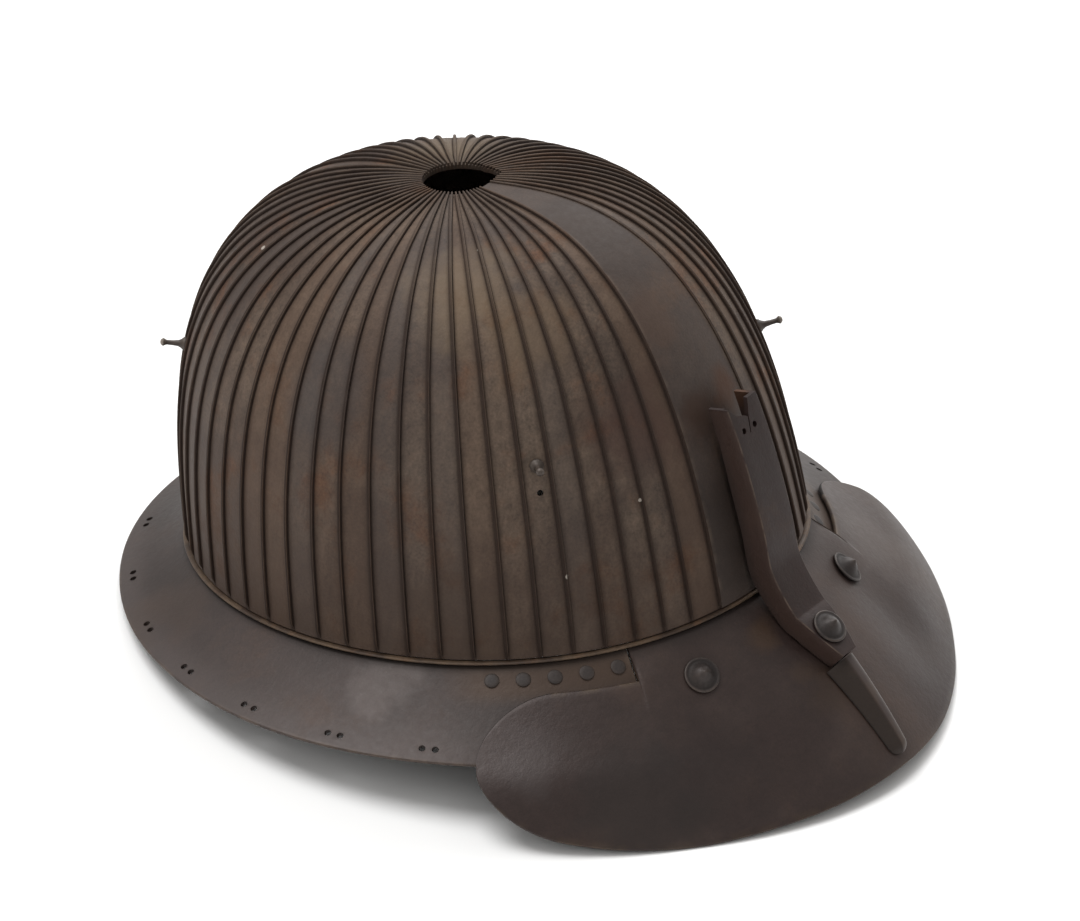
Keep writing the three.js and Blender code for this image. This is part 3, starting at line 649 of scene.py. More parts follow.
def settle(name, carrier):
    """Keeps a carrier's evaluated shape as a new plain piece and removes the carrier."""
    carrier.update_tag()
    bpy.context.view_layer.update()
    graph = bpy.context.evaluated_depsgraph_get()
    mesh = bpy.data.meshes.new_from_object(carrier.evaluated_get(graph), depsgraph=graph)
    old = carrier.data
    bpy.data.objects.remove(carrier)
    bpy.data.meshes.remove(old)
    mesh.name = name
    return link(name, mesh)


def tidy_solid(piece, crease=PLATE_CREASE):
    """Merges doubles, turns faces outwards, and shades smooth except at sharp edges."""
    shape = bmesh.new()
    shape.from_mesh(piece.data)
    bmesh.ops.remove_doubles(shape, verts=shape.verts, dist=MERGE)
    bmesh.ops.dissolve_degenerate(shape, edges=shape.edges, dist=SHORTEST)
    bmesh.ops.recalc_face_normals(shape, faces=shape.faces)
    if shape.calc_volume(signed=True) < 0:
        bmesh.ops.reverse_faces(shape, faces=shape.faces)
    shape.to_mesh(piece.data)
    shape.free()
    piece.data.polygons.foreach_set("use_smooth", [True] * len(piece.data.polygons))
    piece.data.set_sharp_from_angle(angle=math.radians(crease))
    return piece


def cut_away(piece, cutter, solver="EXACT"):
    """Cuts one closed solid out of another for good."""
    modifier = piece.modifiers.new("cut", "BOOLEAN")
    modifier.operation = "DIFFERENCE"
    modifier.object = cutter
    modifier.solver = solver
    name = piece.name
    piece.name = name + "_uncut"
    return settle(name, piece)


def add_piece(piece, nodes, slot, material=None):
    """Rides on the helmet, stands for its CAD nodes, and takes its finish."""
    if material is not None:
        piece.data.materials.clear()
        piece.data.materials.append(material)
    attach(piece, "root")
    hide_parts(*nodes)
    return piece


def ring_mesh(name, rings, marks=None):
    """Closed solid through equal rings, folded shut at both ends; marks are point attributes."""
    rings = np.asarray(rings)
    count, size = rings.shape[0], rings.shape[1]
    faces = []
    for row in range(count - 1):
        here, above = row * size, (row + 1) * size
        for i in range(size):
            j = (i + 1) % size
            faces.append((here + i, here + j, above + j, above + i))
    last = (count - 1) * size
    for i in range(size // 2 - 1):
        mates = (i, i + 1, size - 2 - i, size - 1 - i)
        faces.append(mates[::-1])
        faces.append(tuple(last + mate for mate in mates))
    mesh = bpy.data.meshes.new(name)
    mesh.from_pydata(rings.reshape(-1, 3).tolist(), [], faces)
    for label, values in (marks or {}).items():
        layer = mesh.attributes.new(label, "FLOAT", "POINT")
        layer.data.foreach_set("value", np.asarray(values, float).reshape(-1))
    return mesh


# %% [markdown]
# ## Patina, wear, dirt and painted light as shader groups
# Old russet iron is never one brown. Slow patches come from how the lacquer and rust aged, fine grain
# from the forged surface, bright edges from hands and cloth together with painted highlight, and dark
# corners from dirt that nobody could reach together with painted shade. Round soft patches lay stains
# and painted light and shade in their places. Each of these is a group that puts out only colours,
# masks and heights, so all the materials share them, and each material sets its own colours and amounts.


# %% Shader groups
PATCH_GRAIN = 70.0


def mix_colour(tree, factor, first, second, mode="MIX"):
    node = tree.nodes.new("ShaderNodeMix")
    node.data_type, node.blend_type = "RGBA", mode
    colours = [slot for slot in node.inputs if slot.type == "RGBA"]
    wire(tree, factor, node.inputs[0])
    wire(tree, first, colours[0])
    wire(tree, second, colours[1])
    return [slot for slot in node.outputs if slot.type == "RGBA"][0]


def build_patina_group():
    """Slow mottling between three colours, with grain."""
    inputs = {
        "Vector": (VECTOR, None),
        "Patch Scale": (NUMBER, 22.0),
        "Dark": (COLOUR, (0.05, 0.035, 0.03, 1)),
        "Light": (COLOUR, (0.1, 0.08, 0.07, 1)),
        "Rust": (COLOUR, (0.12, 0.06, 0.03, 1)),
        "Rust Amount": (NUMBER, 0.4),
        "Grain": (NUMBER, 0.3),
        "Streaks": (NUMBER, 0.0),
    }
    outputs = {"Colour": COLOUR, "Roughness": NUMBER, "Height": NUMBER}
    tree, given, result = new_group("Old Patina", "ShaderNodeTree", inputs, outputs)

    def noise(scale, detail, roughness=0.55, stretch=(1.0, 1.0, 1.0)):
        return noise_at(tree, given["Vector"].vector("MULTIPLY", stretch), scale, detail, roughness)

    patches = noise(given["Patch Scale"], 4.0)
    rust_field = noise(given["Patch Scale"] * 1.9, 5.0, 0.65)
    grain = noise(1100.0, 3.0)
    pits = noise(420.0, 2.0)
    streaks = noise(430.0, 3.0, 0.6, (1.0, 1.0, 0.1))
    mottle = noise(190.0, 4.0, 0.7)
    base = mix_colour(tree, fade(tree, patches, 0.36, 0.64), given["Dark"], given["Light"])
    rusty = fade(tree, rust_field, 0.5, 0.72) * given["Rust Amount"]
    base = mix_colour(tree, rusty, base, given["Rust"])
    speckle = 1.0 + (grain - 0.5) * given["Grain"] * 1.6 + (pits - 0.5) * given["Grain"]
    speckle = speckle + (mottle - 0.5) * given["Grain"] * 0.9 + (streaks - 0.5) * given["Streaks"]
    shade = vector_of(tree, speckle, speckle, speckle)
    colour = mix_colour(tree, 1.0, base, shade.socket, "MULTIPLY")
    wire(tree, colour, result.inputs["Colour"])
    wire(tree, rusty * 0.5 + (patches - 0.5) * 0.5 + (pits - 0.5) * 0.4, result.inputs["Roughness"])
    wire(tree, grain * 0.4 + pits * 0.6 + rusty * 0.8, result.inputs["Height"])
    return tree


def build_wear_and_light_group():
    """Bright worn edges with painted highlight, and dark corners of dirt with painted shade, broken up by
    noise.
    """
    inputs = {
        "Vector": (VECTOR, None),
        "Colour": (COLOUR, (0.1, 0.1, 0.1, 1)),
        "Edge": (NUMBER, 0.0),
        "Recess": (NUMBER, 0.0),
        "Edge Colour": (COLOUR, (0.2, 0.17, 0.14, 1)),
        "Recess Colour": (COLOUR, (0.01, 0.007, 0.005, 1)),
        "Breakup Scale": (NUMBER, 160.0),
    }
    outputs = {"Colour": COLOUR, "Bright": NUMBER}
    tree, given, result = new_group("Worn Edges And Dirt", "ShaderNodeTree", inputs, outputs)
    broken = noise_at(tree, given["Vector"], given["Breakup Scale"], 3.0)
    bright = given["Edge"] * fade(tree, broken, 0.34, 0.62)
    wear_and_highlight = mix_colour(tree, bright, given["Colour"], given["Edge Colour"])
    dirt_shade = given["Recess"] * fade(tree, broken, 0.2, 0.45, 0.75, 1.0)
    wire(tree, mix_colour(tree, dirt_shade, wear_and_highlight, given["Recess Colour"]), result.inputs["Colour"])
    wire(tree, bright, result.inputs["Bright"])
    return tree


def build_stain_and_light_group():
    """Round soft patch with a ragged edge, at a place on the piece; it lays stains and painted light and
    shade.
    """
    inputs = {
        "Vector": (VECTOR, None),
        "Centre": (VECTOR, (0, 0, 0)),
        "Radius": (NUMBER, 0.02),
        "Ragged": (NUMBER, 0.5),
    }
    tree, given, result = new_group("Stain", "ShaderNodeTree", inputs, {"Mask": NUMBER})
    away = given["Vector"].vector("DISTANCE", given["Centre"], output=1) / given["Radius"]
    torn = noise_at(tree, given["Vector"], PATCH_GRAIN, 4.0) - 0.5
    ragged = away + torn * given["Ragged"] * 2.0
    wire(tree, fade(tree, ragged, 0.25, 1.0, 1.0, 0.0), result.inputs["Mask"])
    return tree


def build_speck_group():
    """Small pale specks where the surface has chipped."""
    inputs = {
        "Vector": (VECTOR, None),
        "Cell": (NUMBER, 90.0),
        "Kept": (NUMBER, 0.06),
        "Size": (NUMBER, 0.12),
    }
    tree, given, result = new_group("Pale Specks", "ShaderNodeTree", inputs, {"Mask": NUMBER})
    cells = tree.nodes.new("ShaderNodeTexVoronoi")
    wire(tree, given["Vector"], cells.inputs["Vector"])
    wire(tree, given["Cell"], cells.inputs["Scale"])
    chance = tree.nodes.new("ShaderNodeSeparateColor")
    wire(tree, cells.outputs["Color"], chance.inputs[0])
    kept = Term(tree, chance.outputs[0]).math("LESS_THAN", given["Kept"])
    size = given["Size"] * (Term(tree, chance.outputs[1]) + 0.4)
    away = Term(tree, cells.outputs["Distance"]) / size
    wire(tree, kept * fade(tree, away, 0.6, 1.0, 1.0, 0.0), result.inputs["Mask"])
    return tree


PATINA, WEAR_AND_LIGHT = build_patina_group(), build_wear_and_light_group()
STAIN_AND_LIGHT_PATCH, SPECKS = build_stain_and_light_group(), build_speck_group()
print("Shader groups:", [group.name for group in (PATINA, WEAR_AND_LIGHT, STAIN_AND_LIGHT_PATCH, SPECKS)])

# %% [markdown]
# ## The irons
# One recipe makes every iron here: patina first, then stains and painted patches of light and shade in
# their places, dirt with painted shade and worn edges with painted highlight, and pale specks last. The
# numbers say how each piece differs: the bowl is brown with ochre painted where it caught the light, the
# front plate is smoother and more purple, the skirts are a grey satin.


# %% Recipe for an iron
def rgb(red, green, blue):
    """Colour as the eye reads it on a screen, 0 to 255, made linear for the shader."""
    linear = []
    for part in (red, green, blue):
        part = part / 255
        linear.append(part / 12.92 if part <= 0.04045 else ((part + 0.055) / 1.055) ** 2.4)
    return (*linear, 1)


SPECK_COLOUR, SPECK_STRENGTH = rgb(176, 168, 158), 0.8
BUMP_DEPTH, SHINE = 0.0004, 0.45


def add_iron(name, recipe, stains_and_light_patches):
    material = bpy.data.materials.new(name)
    material.use_nodes = True
    tree = material.node_tree
    shader = tree.nodes["Principled BSDF"]
    at = tree.nodes.new("ShaderNodeTexCoord").outputs["Object"]

    def mark(label):
        node = tree.nodes.new("ShaderNodeAttribute")
        node.attribute_name = label
        return Term(tree, node.outputs["Fac"])

    patina = group_node(
        tree,
        "ShaderNodeGroup",
        PATINA,
        Vector=at,
        Patch_Scale=recipe["patch"],
        Dark=recipe["dark"],
        Light=recipe["light"],
        Rust=recipe["rust"],
        Rust_Amount=recipe["rusty"],
        Grain=recipe["grain"],
        Streaks=recipe["streaks"],
    )
    colour = patina.outputs["Colour"]
    tone = mark("tone")
    if "tones" in recipe:
        cool, warm = recipe["tones"]
        colour = mix_colour(tree, (tone * -1.0).math("MAXIMUM", 0.0), colour, cool)
        colour = mix_colour(tree, tone.math("MAXIMUM", 0.0), colour, warm)
    # Painted shade: the colour darkens towards the bottom of the piece, between two heights
    if "low" in recipe:
        shade_colour_below, from_height, to_height, strength = recipe["low"]
        split = tree.nodes.new("ShaderNodeSeparateXYZ")
        wire(tree, at, split.inputs[0])
        mask = fade(tree, Term(tree, split.outputs[2]), from_height, to_height, strength, 0.0)
        colour = mix_colour(tree, mask, colour, shade_colour_below)
    for centre, radius, ragged, strength, patch_colour in stains_and_light_patches:
        spot = group_node(
            tree,
            "ShaderNodeGroup",
            STAIN_AND_LIGHT_PATCH,
            Vector=at,
            Centre=tuple(on_floor(centre)),
            Radius=radius * MM,
            Ragged=ragged,
        )
        mask = Term(tree, spot.outputs["Mask"]) * strength
        colour = mix_colour(tree, mask, colour, patch_colour)
    # Worn edges here carry painted highlight, and the dirt marks carry painted shade in corners and on
    # shaded sides
    wear_and_highlight = group_node(
        tree,
        "ShaderNodeGroup",
        WEAR_AND_LIGHT,
        Vector=at,
        Colour=colour,
        Edge=mark("edge") * recipe["edge"],
        Recess=mark("recess") * recipe["recess"],
        Edge_Colour=recipe["edge_colour"],
        Recess_Colour=recipe["dirt_and_shade_colour"],
    )
    specks = group_node(
        tree, "ShaderNodeGroup", SPECKS, Vector=at, Cell=recipe["cell"], Kept=recipe["kept"]
    )
    chipped = Term(tree, specks.outputs["Mask"]) * SPECK_STRENGTH
    colour = mix_colour(tree, chipped, wear_and_highlight.outputs["Colour"], SPECK_COLOUR)
    wire(tree, colour, shader.inputs["Base Color"])
    rough = Term(tree, patina.outputs["Roughness"]) * 0.4 + recipe["rough"]
    rough = rough + mark("recess") * 0.25 - Term(tree, wear_and_highlight.outputs["Bright"]) * 0.08
    wire(tree, rough, shader.inputs["Roughness"])
    bump = tree.nodes.new("ShaderNodeBump")
    bump.inputs["Strength"].default_value = recipe["bump"]
    bump.inputs["Distance"].default_value = BUMP_DEPTH
    wire(tree, patina.outputs["Height"], bump.inputs["Height"])
    wire(tree, bump.outputs["Normal"], shader.inputs["Normal"])
    shader.inputs["Metallic"].default_value = recipe["metal"]
    shader.inputs["Specular IOR Level"].default_value = SHINE
    return material


# What an iron has where its own recipe doesn't say otherwise. "tones" are the colours for negative and
# positive tone marks, "low" a painted shade, a colour that fades in downwards between two heights, with
# its strength. The edge keys paint worn edges together with painted highlight, and the dirt and shade
# keys paint dirt together with painted shade
BASE = {
    "patch": 24.0,
    "dark": rgb(70, 59, 51),
    "light": rgb(90, 77, 68),
    "rust": rgb(96, 69, 48),
    "rusty": 0.5,
    "grain": 0.45,
    "streaks": 0.15,
    "edge": 0.4,
    "edge_colour": rgb(118, 101, 86),
    "recess": 0.9,
    "dirt_and_shade_colour": rgb(20, 13, 10),
    "cell": 150.0,
    "kept": 0.008,
    "rough": 0.56,
    "bump": 0.35,
    "metal": 0.3,
}
RECIPES = {
    "bowl_iron": {
        "dark": rgb(64, 51, 43), "light": rgb(88, 74, 63), "rust": rgb(94, 62, 42), "rusty": 0.65,
        "tones": (rgb(72, 63, 59), rgb(86, 64, 48)), "edge": 0.35, "edge_colour": rgb(116, 96, 78),
        "dirt_and_shade_colour": rgb(40, 27, 20), "grain": 0.7, "streaks": 0.8, "bump": 0.45, "rough": 0.66,
        # Painted shade: the bowl darkens towards its foot
        "low": (rgb(60, 42, 31), 0.03, 0.115, 0.55),
    },
    "front_iron": {
        "dark": rgb(58, 47, 42), "light": rgb(69, 58, 52), "rusty": 0.3, "rough": 0.64, "grain": 0.35,
    },
    "rim_iron": {
        "dark": rgb(56, 42, 32), "light": rgb(84, 67, 51), "patch": 90.0, "edge": 0.3, "recess": 0.7,
    },
    "neck_iron": {
        "dark": rgb(46, 37, 34), "light": rgb(58, 48, 45), "rusty": 0.15, "grain": 0.35, "rough": 0.52,
        "edge": 0.35, "patch": 16.0, "tones": (rgb(88, 80, 78), rgb(66, 50, 39)),
    },
    "peak_iron": {
        "dark": rgb(45, 33, 30), "light": rgb(59, 47, 43), "rusty": 0.1, "grain": 0.25, "rough": 0.46,
        "edge": 0.35, "patch": 13.0, "edge_colour": rgb(104, 86, 62),
        # Used by the ridge only: the paler tone paints its lit far side, the darker one its shaded near
        # flank
        "tones": (rgb(72, 64, 62), rgb(58, 45, 35)),
    },
    "holder_iron": {
        "dark": rgb(38, 24, 21), "light": rgb(46, 32, 29), "rusty": 0.2, "rough": 0.54, "edge": 0.35,
        "tones": (rgb(38, 26, 23), rgb(58, 41, 34)),
    },
    "rivet_iron": {
        "dark": rgb(42, 35, 33), "light": rgb(58, 51, 49), "rusty": 0.15, "rough": 0.46, "edge": 0.3,
    },
    # Painted highlight: the pale edge colour lights the ball ends, together with wear
    "pin_iron": {
        "dark": rgb(50, 42, 37), "light": rgb(72, 63, 57), "rusty": 0.3, "rough": 0.42, "edge": 0.6,
        "edge_colour": rgb(150, 140, 130),
    },
}
# Stains and painted patches of light and shade: place in the bowl's frame, radius in mm, raggedness,
# strength, colour
STAINS_AND_LIGHT_PATCHES = {slot: [] for slot in RECIPES}
STAINS_AND_LIGHT_PATCHES["bowl_iron"] = [
    # Painted light: the next three are ochre patches where the bowl's top is lit
    (skin(55, 0.66), 27, 0.7, 0.6, rgb(104, 87, 68)),
    (skin(43, 0.56), 24, 0.8, 0.5, rgb(98, 79, 60)),
    (skin(-138, 0.91), 24, 0.6, 0.6, rgb(104, 90, 72)),
    (skin(22, 0.3), 24, 0.9, 0.55, rgb(68, 46, 38)),
    (skin(89, 0.36), 24, 0.8, 0.4, rgb(64, 60, 60)),
    # Painted shade: the next three darken the plates just above the foot
    (skin(64, 0.04), 36, 0.9, 0.45, rgb(60, 45, 35)),
    (skin(37, 0.06), 30, 0.9, 0.45, rgb(56, 41, 32)),
    (skin(110, 0.05), 34, 0.9, 0.3, rgb(62, 48, 38)),
]
STAINS_AND_LIGHT_PATCHES["front_iron"] = [
    # Painted shade: the next one darkens the lower front plate
    (skin(3, 0.1), 34, 0.5, 0.75, rgb(38, 28, 23)),
    (skin(8, 0.5), 16, 0.9, 0.35, rgb(84, 62, 48)),
    (skin(0, 0.8), 32, 0.8, 0.7, rgb(50, 40, 35)),
    (skin(5, share_at_height(5, 68)), 13, 0.8, 0.85, rgb(54, 36, 26)),
    (skin(-6, share_at_height(-6, 69)), 9, 0.8, 0.9, rgb(70, 44, 28)),
]
STAINS_AND_LIGHT_PATCHES["neck_iron"] = [
    # Painted highlight: the next one is a pale lit patch near the rim
    (neck(75, 0.2), 19, 0.9, 0.45, rgb(88, 79, 76)),
    (neck(-60, 0.7), 30, 0.7, 0.6, rgb(40, 32, 29)),
    (neck(128, 0.5), 26, 0.9, 0.35, rgb(70, 55, 46)),
]
STAINS_AND_LIGHT_PATCHES["holder_iron"] = [
    (np.array([8.5, -101.5, 68.5]), 6.0, 0.3, 1.0, rgb(78, 52, 37)),
]
STAINS_AND_LIGHT_PATCHES["peak_iron"] = [
    # Painted shade on the next one and on the one at 36 degrees, darkening the low near wing; painted
    # light on the ones at -38 and -20 degrees, lightening the far side
    (peak_top(26, 0.75), 30, 0.8, 0.5, rgb(36, 26, 24)),
    (peak_top(-38, 0.5), 24, 0.7, 0.5, rgb(84, 74, 70)),
    (peak_top(6, 0.16), 9, 0.9, 0.7, rgb(64, 46, 32)),
    (peak_top(5, 0.42), 7, 0.9, 0.5, rgb(62, 47, 37)),
    (peak_top(36, 0.8), 34, 0.6, 0.6, rgb(38, 31, 29)),
    (peak_top(50, 0.6), 15, 0.8, 0.35, rgb(70, 63, 62)),
    (peak_top(-20, 0.6), 30, 0.7, 0.3, rgb(68, 60, 58)),
    (peak_top(4, 0.55), 12, 0.8, 0.45, rgb(54, 39, 28)),
]
IRONS = {slot: add_iron(slot, {**BASE, **recipe}, STAINS_AND_LIGHT_PATCHES[slot]) for slot, recipe in RECIPES.items()}
print("Irons:", sorted(IRONS))

# %% [markdown]
# ## Cutting the plates
# A plate's outline, from its rib over its flat to the next plate, is a short table. Each row says on
# which edge it hangs, how many rib thicknesses and gaps it lies from it, and how high it stands with
# the rib full and with the rib faded out. The last two columns are for the paint: worn edge with painted
# highlight, and dirt with painted shade on the rib's walls and at its foot.

# %% Outline of a ribbed plate
# Across in rib thicknesses, height, height where the rib has faded, worn edge and painted highlight,
# dirt and painted shade
RIB_OUTLINE = [
    (0.00, -0.50, -0.50, 0.0, 1.0),
    (0.00, -0.10, -0.48, 0.0, 1.0),
    # The next two rows carry wear and a painted highlight along this side of the rib's top
    (0.00, 0.34, -0.46, 0.3, 0.7),
    (0.08, 0.56, -0.44, 0.6, 0.3),
    (0.30, 0.66, -0.42, 0.0, 0.95),
    (0.70, 0.66, -0.42, 0.0, 1.0),
    (0.92, 0.56, -0.44, 0.0, 1.0),
    (1.00, 0.34, -0.46, 0.0, 1.0),
    (1.00, -0.10, -0.48, 0.0, 1.0),
    (1.03, -0.42, -0.50, 0.0, 1.0),
    (1.30, -0.50, -0.50, 0.0, 0.8),
]
# Share of the way to the next rib, height, dirt and painted shade
FLAT_OUTLINE = [
    (0.08, -0.50, 0.25),
    (0.24, -0.47, 0.0),
    (0.42, -0.44, 0.0),
    (0.60, -0.44, 0.0),
    (0.78, -0.47, 0.0),
    (0.93, -0.50, 0.25),
]
# Angles of the back plate's ribs on the right of its middle, the left ones being their mirror
BACK_RIBS = (168.5, 174.5)
ROWS, ROW_CROWDING = 64, 1.7
# Gaps between pieces close on the inner side, where the plates really overlap
INNER_LAP = -0.2
# Shares between which the ribs' tops turn from dirt and painted shade to wear and painted highlight
CROWN_WEAR_AND_LIGHT = (0.45, 0.85)
# The crown hole has torn towards the wearer's left front: angle, and distance of the edge from the
# hole's middle in mm, where the plates have broken off short
TORN_EDGE = {
    "angle": [-95, -84, -74, -63, -52, -46, -40, -31, -22, -12, -6, 0],
    "away": [12.0, 12.4, 12.2, 13.4, 14.2, 15.6, 15.1, 13.7, 13.3, 12.4, 12.1, 12.0],
}


def top_share(angle):
    """Share at which the plates end near the crown, less than 1 where they have broken off."""
    away = np.interp(angle, TORN_EDGE["angle"], TORN_EDGE["away"])
    low, high = 0.9, 1.0
    for _ in range(24):
        middle = (low + high) / 2
        spot = skin(angle, middle) - np.array([0, HOLE_BACK, 0])
        low, high = (middle, high) if math.hypot(spot[0], spot[1]) > away else (low, middle)
    return low if away > HOLE_RADIUS else 1.0


def plate_chain(ribs, last, tones):
    """Outline of a group of plates: place, across, gaps, height, sunk height, edge of wear and painted
    highlight, dirt and painted shade, tone.
    """
    chain = []
    for i, rib in enumerate(ribs):
        end = ribs[i + 1] if i + 1 < len(ribs) else last
        gap = 1 if i == 0 else 0
        for across, high, sunk, edge, dirt_shade in RIB_OUTLINE:
            chain.append((rib, across, gap, high, sunk, edge, dirt_shade, tones[i]))
        for t, high, dirt_shade in FLAT_OUTLINE:
            here = rib + (end - rib) * t
            chain.append((here, 1.3 * (1 - t), 0, high, SURFACE, 0, dirt_shade, tones[i]))
        across, gap = (-0.06, 0) if i + 1 < len(ribs) else (0, -1)
        chain.append((end, across, gap, SURFACE, SURFACE, 0, 0.8, tones[i]))
    return chain


def smooth_chain(low, high, count, tone):
    """Outline of a smooth plate, flush with the skin."""
    chain = []
    for i in range(count + 1):
        t = i / count
        gap = 1 if i == 0 else (-1 if i == count else 0)
        wear_and_highlight = 0.8 if i in (0, count) else 0.0
        chain.append((low + (high - low) * t, 0, gap, 0.0, -0.02, wear_and_highlight, 0, tone))
    return chain


def mirrored_chain(ribs, middle, draw):
    """Outline of ribbed plates that turn over at a middle angle."""
    half = plate_chain(ribs, middle, [draw.uniform(-0.3, 0.3) for _ in ribs])[:-1]
    other = [(2 * middle - row[0], -row[1], -row[2], *row[3:]) for row in reversed(half)]
    return half + [(middle, 0, 0, FLAT_OUTLINE[2][1], SURFACE, 0, 0, half[-1][-1])] + other


def plate_sheet(name, chain, side):
    """Flat sheet of a plate with its wall, still unbent."""
    outer = np.array(chain)
    inner = outer[::-1].copy()
    inner[:, 3:5] = -PLATE_WALL
    inner[:, 5:7] = (0, 0.6)
    inner[:, 2] *= INNER_LAP
    ring = np.concatenate([outer, inner])
    shares = np.linspace(0, 1, ROWS) ** ROW_CROWDING
    size = len(ring)
    flat = np.zeros((ROWS, size, 3))
    flat[:, :, 0] = np.arange(size)
    flat[:, :, 1] = np.arange(ROWS)[:, None]
    labels = ("place", "wide", "side", "proud", "sunk", "edge", "recess", "tone")
    marks = {label: np.tile(ring[:, i], (ROWS, 1)) for i, label in enumerate(labels)}
    tops = np.array([top_share(side * (point[0] + point[1] * 1.5)) for point in ring])
    marks["share"] = shares[:, None] * tops
    crown = smooth(shares, *CROWN_WEAR_AND_LIGHT)[:, None]
    marks["recess"] = marks["recess"] * (1 - 0.5 * crown * (marks["proud"] > 0))
    marks["edge"] = np.minimum(marks["edge"] * (1 + crown), 1)
    return ring_mesh(name, flat, marks)


# %% [markdown]
# ## Bending the plates over the bowl
# Each piece stands for one node of the frame: two ribbed plates, the smooth plate at the front, or the
# plate at the back, which has four narrow ribs here. The plates of the left side are the right side's,
# turned over, with their own wander.


# %% The bowl's plates
def add_plates(name, chain, low, high, pitch, side, slot):
    settings = {
        "Iron": IRONS[slot],
        "Middle Angle": (low + high) / 2,
        "Pitch": pitch,
        "Side": float(side),
    }
    sheet = plate_sheet(name, chain, side)
    return tidy_solid(bake_tree(name, sheet, PLATE_TREE, settings))


def build_bowl():
    draw = random.Random(11)
    plates = {}
    chain = smooth_chain(-FRONT_HALF, FRONT_HALF, 20, 0.0)
    plates["front_plate"] = add_plates("front_plate", chain, -0.5, 0.5, 23, 1, "front_iron")
    chain = mirrored_chain(BACK_RIBS, 180, draw)
    plates["back_plate"] = add_plates("back_plate", chain, 179.5, 180.5, 6, 1, "bowl_iron")
    angles = plate_angles()
    for side, word in ((1, "right"), (-1, "left")):
        for first in range(0, PLATES, 2):
            ribs, last = angles[first : first + 2], angles[first + 2]
            tones = [draw.uniform(-0.45, 0.45) for _ in ribs]
            name = f"plates_{word}_{first // 2 + 1}"
            pitch = (last - ribs[0]) / len(ribs)
            chain = plate_chain(ribs, last, tones)
            plates[name] = add_plates(name, chain, ribs[0], last, pitch, side, "bowl_iron")
    return plates


PLATES_MADE = build_bowl()
print("Plates:", len(PLATES_MADE), "faces:", sum(len(p.data.polygons) for p in PLATES_MADE.values()))

# %% [markdown]
# ## Fasteners by one tree
# Rivets, pins and the punches that cut the lacing holes all are one turned shape set many times, each
# on a point and square to the surface. A tree sets them: Python gives the points and directions, and
# the tree places the master shape, turns each one a little differently, and makes them real.


# %% Tree that sets turned shapes on points
def build_fastener_tree():
    inputs = {
        "Geometry": (SHAPE, None),
        "Master": ("NodeSocketObject", None),
        "Iron": ("NodeSocketMaterial", None),
        "Seed": ("NodeSocketInt", 5),
    }
    tree, given, result = new_group("Set Fasteners", "GeometryNodeTree", inputs, {"Geometry": SHAPE})
    master = tree.nodes.new("GeometryNodeObjectInfo")
    wire(tree, given["Master"], master.inputs["Object"])
    direction = tree.nodes.new("GeometryNodeInputNamedAttribute")
    direction.data_type = "FLOAT_VECTOR"
    direction.inputs["Name"].default_value = "direction"
    align = tree.nodes.new("FunctionNodeAlignRotationToVector")
    align.axis = "Z"
    wire(tree, direction.outputs["Attribute"], align.inputs["Vector"])
    spin = tree.nodes.new("FunctionNodeRandomValue")
    spin.data_type = "FLOAT"
    spin.inputs[3].default_value = 2 * math.pi
    wire(tree, given["Seed"], spin.inputs["Seed"])
    spun = tree.nodes.new("FunctionNodeAxisAngleToRotation")
    wire(tree, spin.outputs[1], spun.inputs["Angle"])
    turned = tree.nodes.new("FunctionNodeRotateRotation")
    turned.rotation_space = "LOCAL"
    wire(tree, align.outputs[0], turned.inputs[0])
    wire(tree, spun.outputs[0], turned.inputs[1])
    place = tree.nodes.new("GeometryNodeInstanceOnPoints")
    wire(tree, given["Geometry"], place.inputs["Points"])
    wire(tree, master.outputs["Geometry"], place.inputs["Instance"])
    wire(tree, turned.outputs[0], place.inputs["Rotation"])
    finish_tree(tree, place.outputs[0], given["Iron"], result, realize=True)
    return tree


FASTENER_TREE = build_fastener_tree()


def turned_shape(name, profile, sides, recess=()):
    """Solid turned round Z from a profile of (radius, height, worn edge and painted highlight, dirt and
    painted shade) rows, foot first.
    """
    shape = bmesh.new()
    edge = shape.verts.layers.float.new("edge")
    dirt_shade = shape.verts.layers.float.new("recess")
    rings = []
    for radius, height, wear_and_highlight, dirt_shade_value in profile:
        turns = [0.0] if radius == 0 else [2 * math.pi * i / sides for i in range(sides)]
        ring = [shape.verts.new((radius * math.cos(a), radius * math.sin(a), height)) for a in turns]
        for vertex in ring:
            vertex[edge], vertex[dirt_shade] = wear_and_highlight, dirt_shade_value
        rings.append(ring)
    for low, high in zip(rings, rings[1:]):
        for i in range(sides):
            j = i + 1
            corners = [low[i % len(low)], low[j % len(low)], high[j % len(high)], high[i % len(high)]]
            shape.faces.new([c for n, c in enumerate(corners) if c not in corners[:n]])
    mesh = bpy.data.meshes.new(name)
    shape.to_mesh(mesh)
    shape.free()
    return link(name, mesh)


def set_fasteners(name, master, places, iron):
    """Sets a master shape at (point, direction) places, in the bowl's frame, as one piece."""
    mesh = bpy.data.meshes.new(name)
    mesh.from_pydata([tuple(point) for point, _ in places], [], [])
    layer = mesh.attributes.new("direction", "FLOAT_VECTOR", "POINT")
    layer.data.foreach_set("vector", np.array([way for _, way in places]).reshape(-1))
    piece = bake_tree(name, mesh, FASTENER_TREE, {"Master": master, "Iron": iron})
    bpy.data.objects.remove(master)
    return piece


# %% [markdown]
# ## Pins and their holes
# Four pins with ball ends stand on the bowl, each over a small hole that once held a cord. They are
# turned shapes, so the fastener tree sets them, and the holes are punched out by solids set the same
# way.

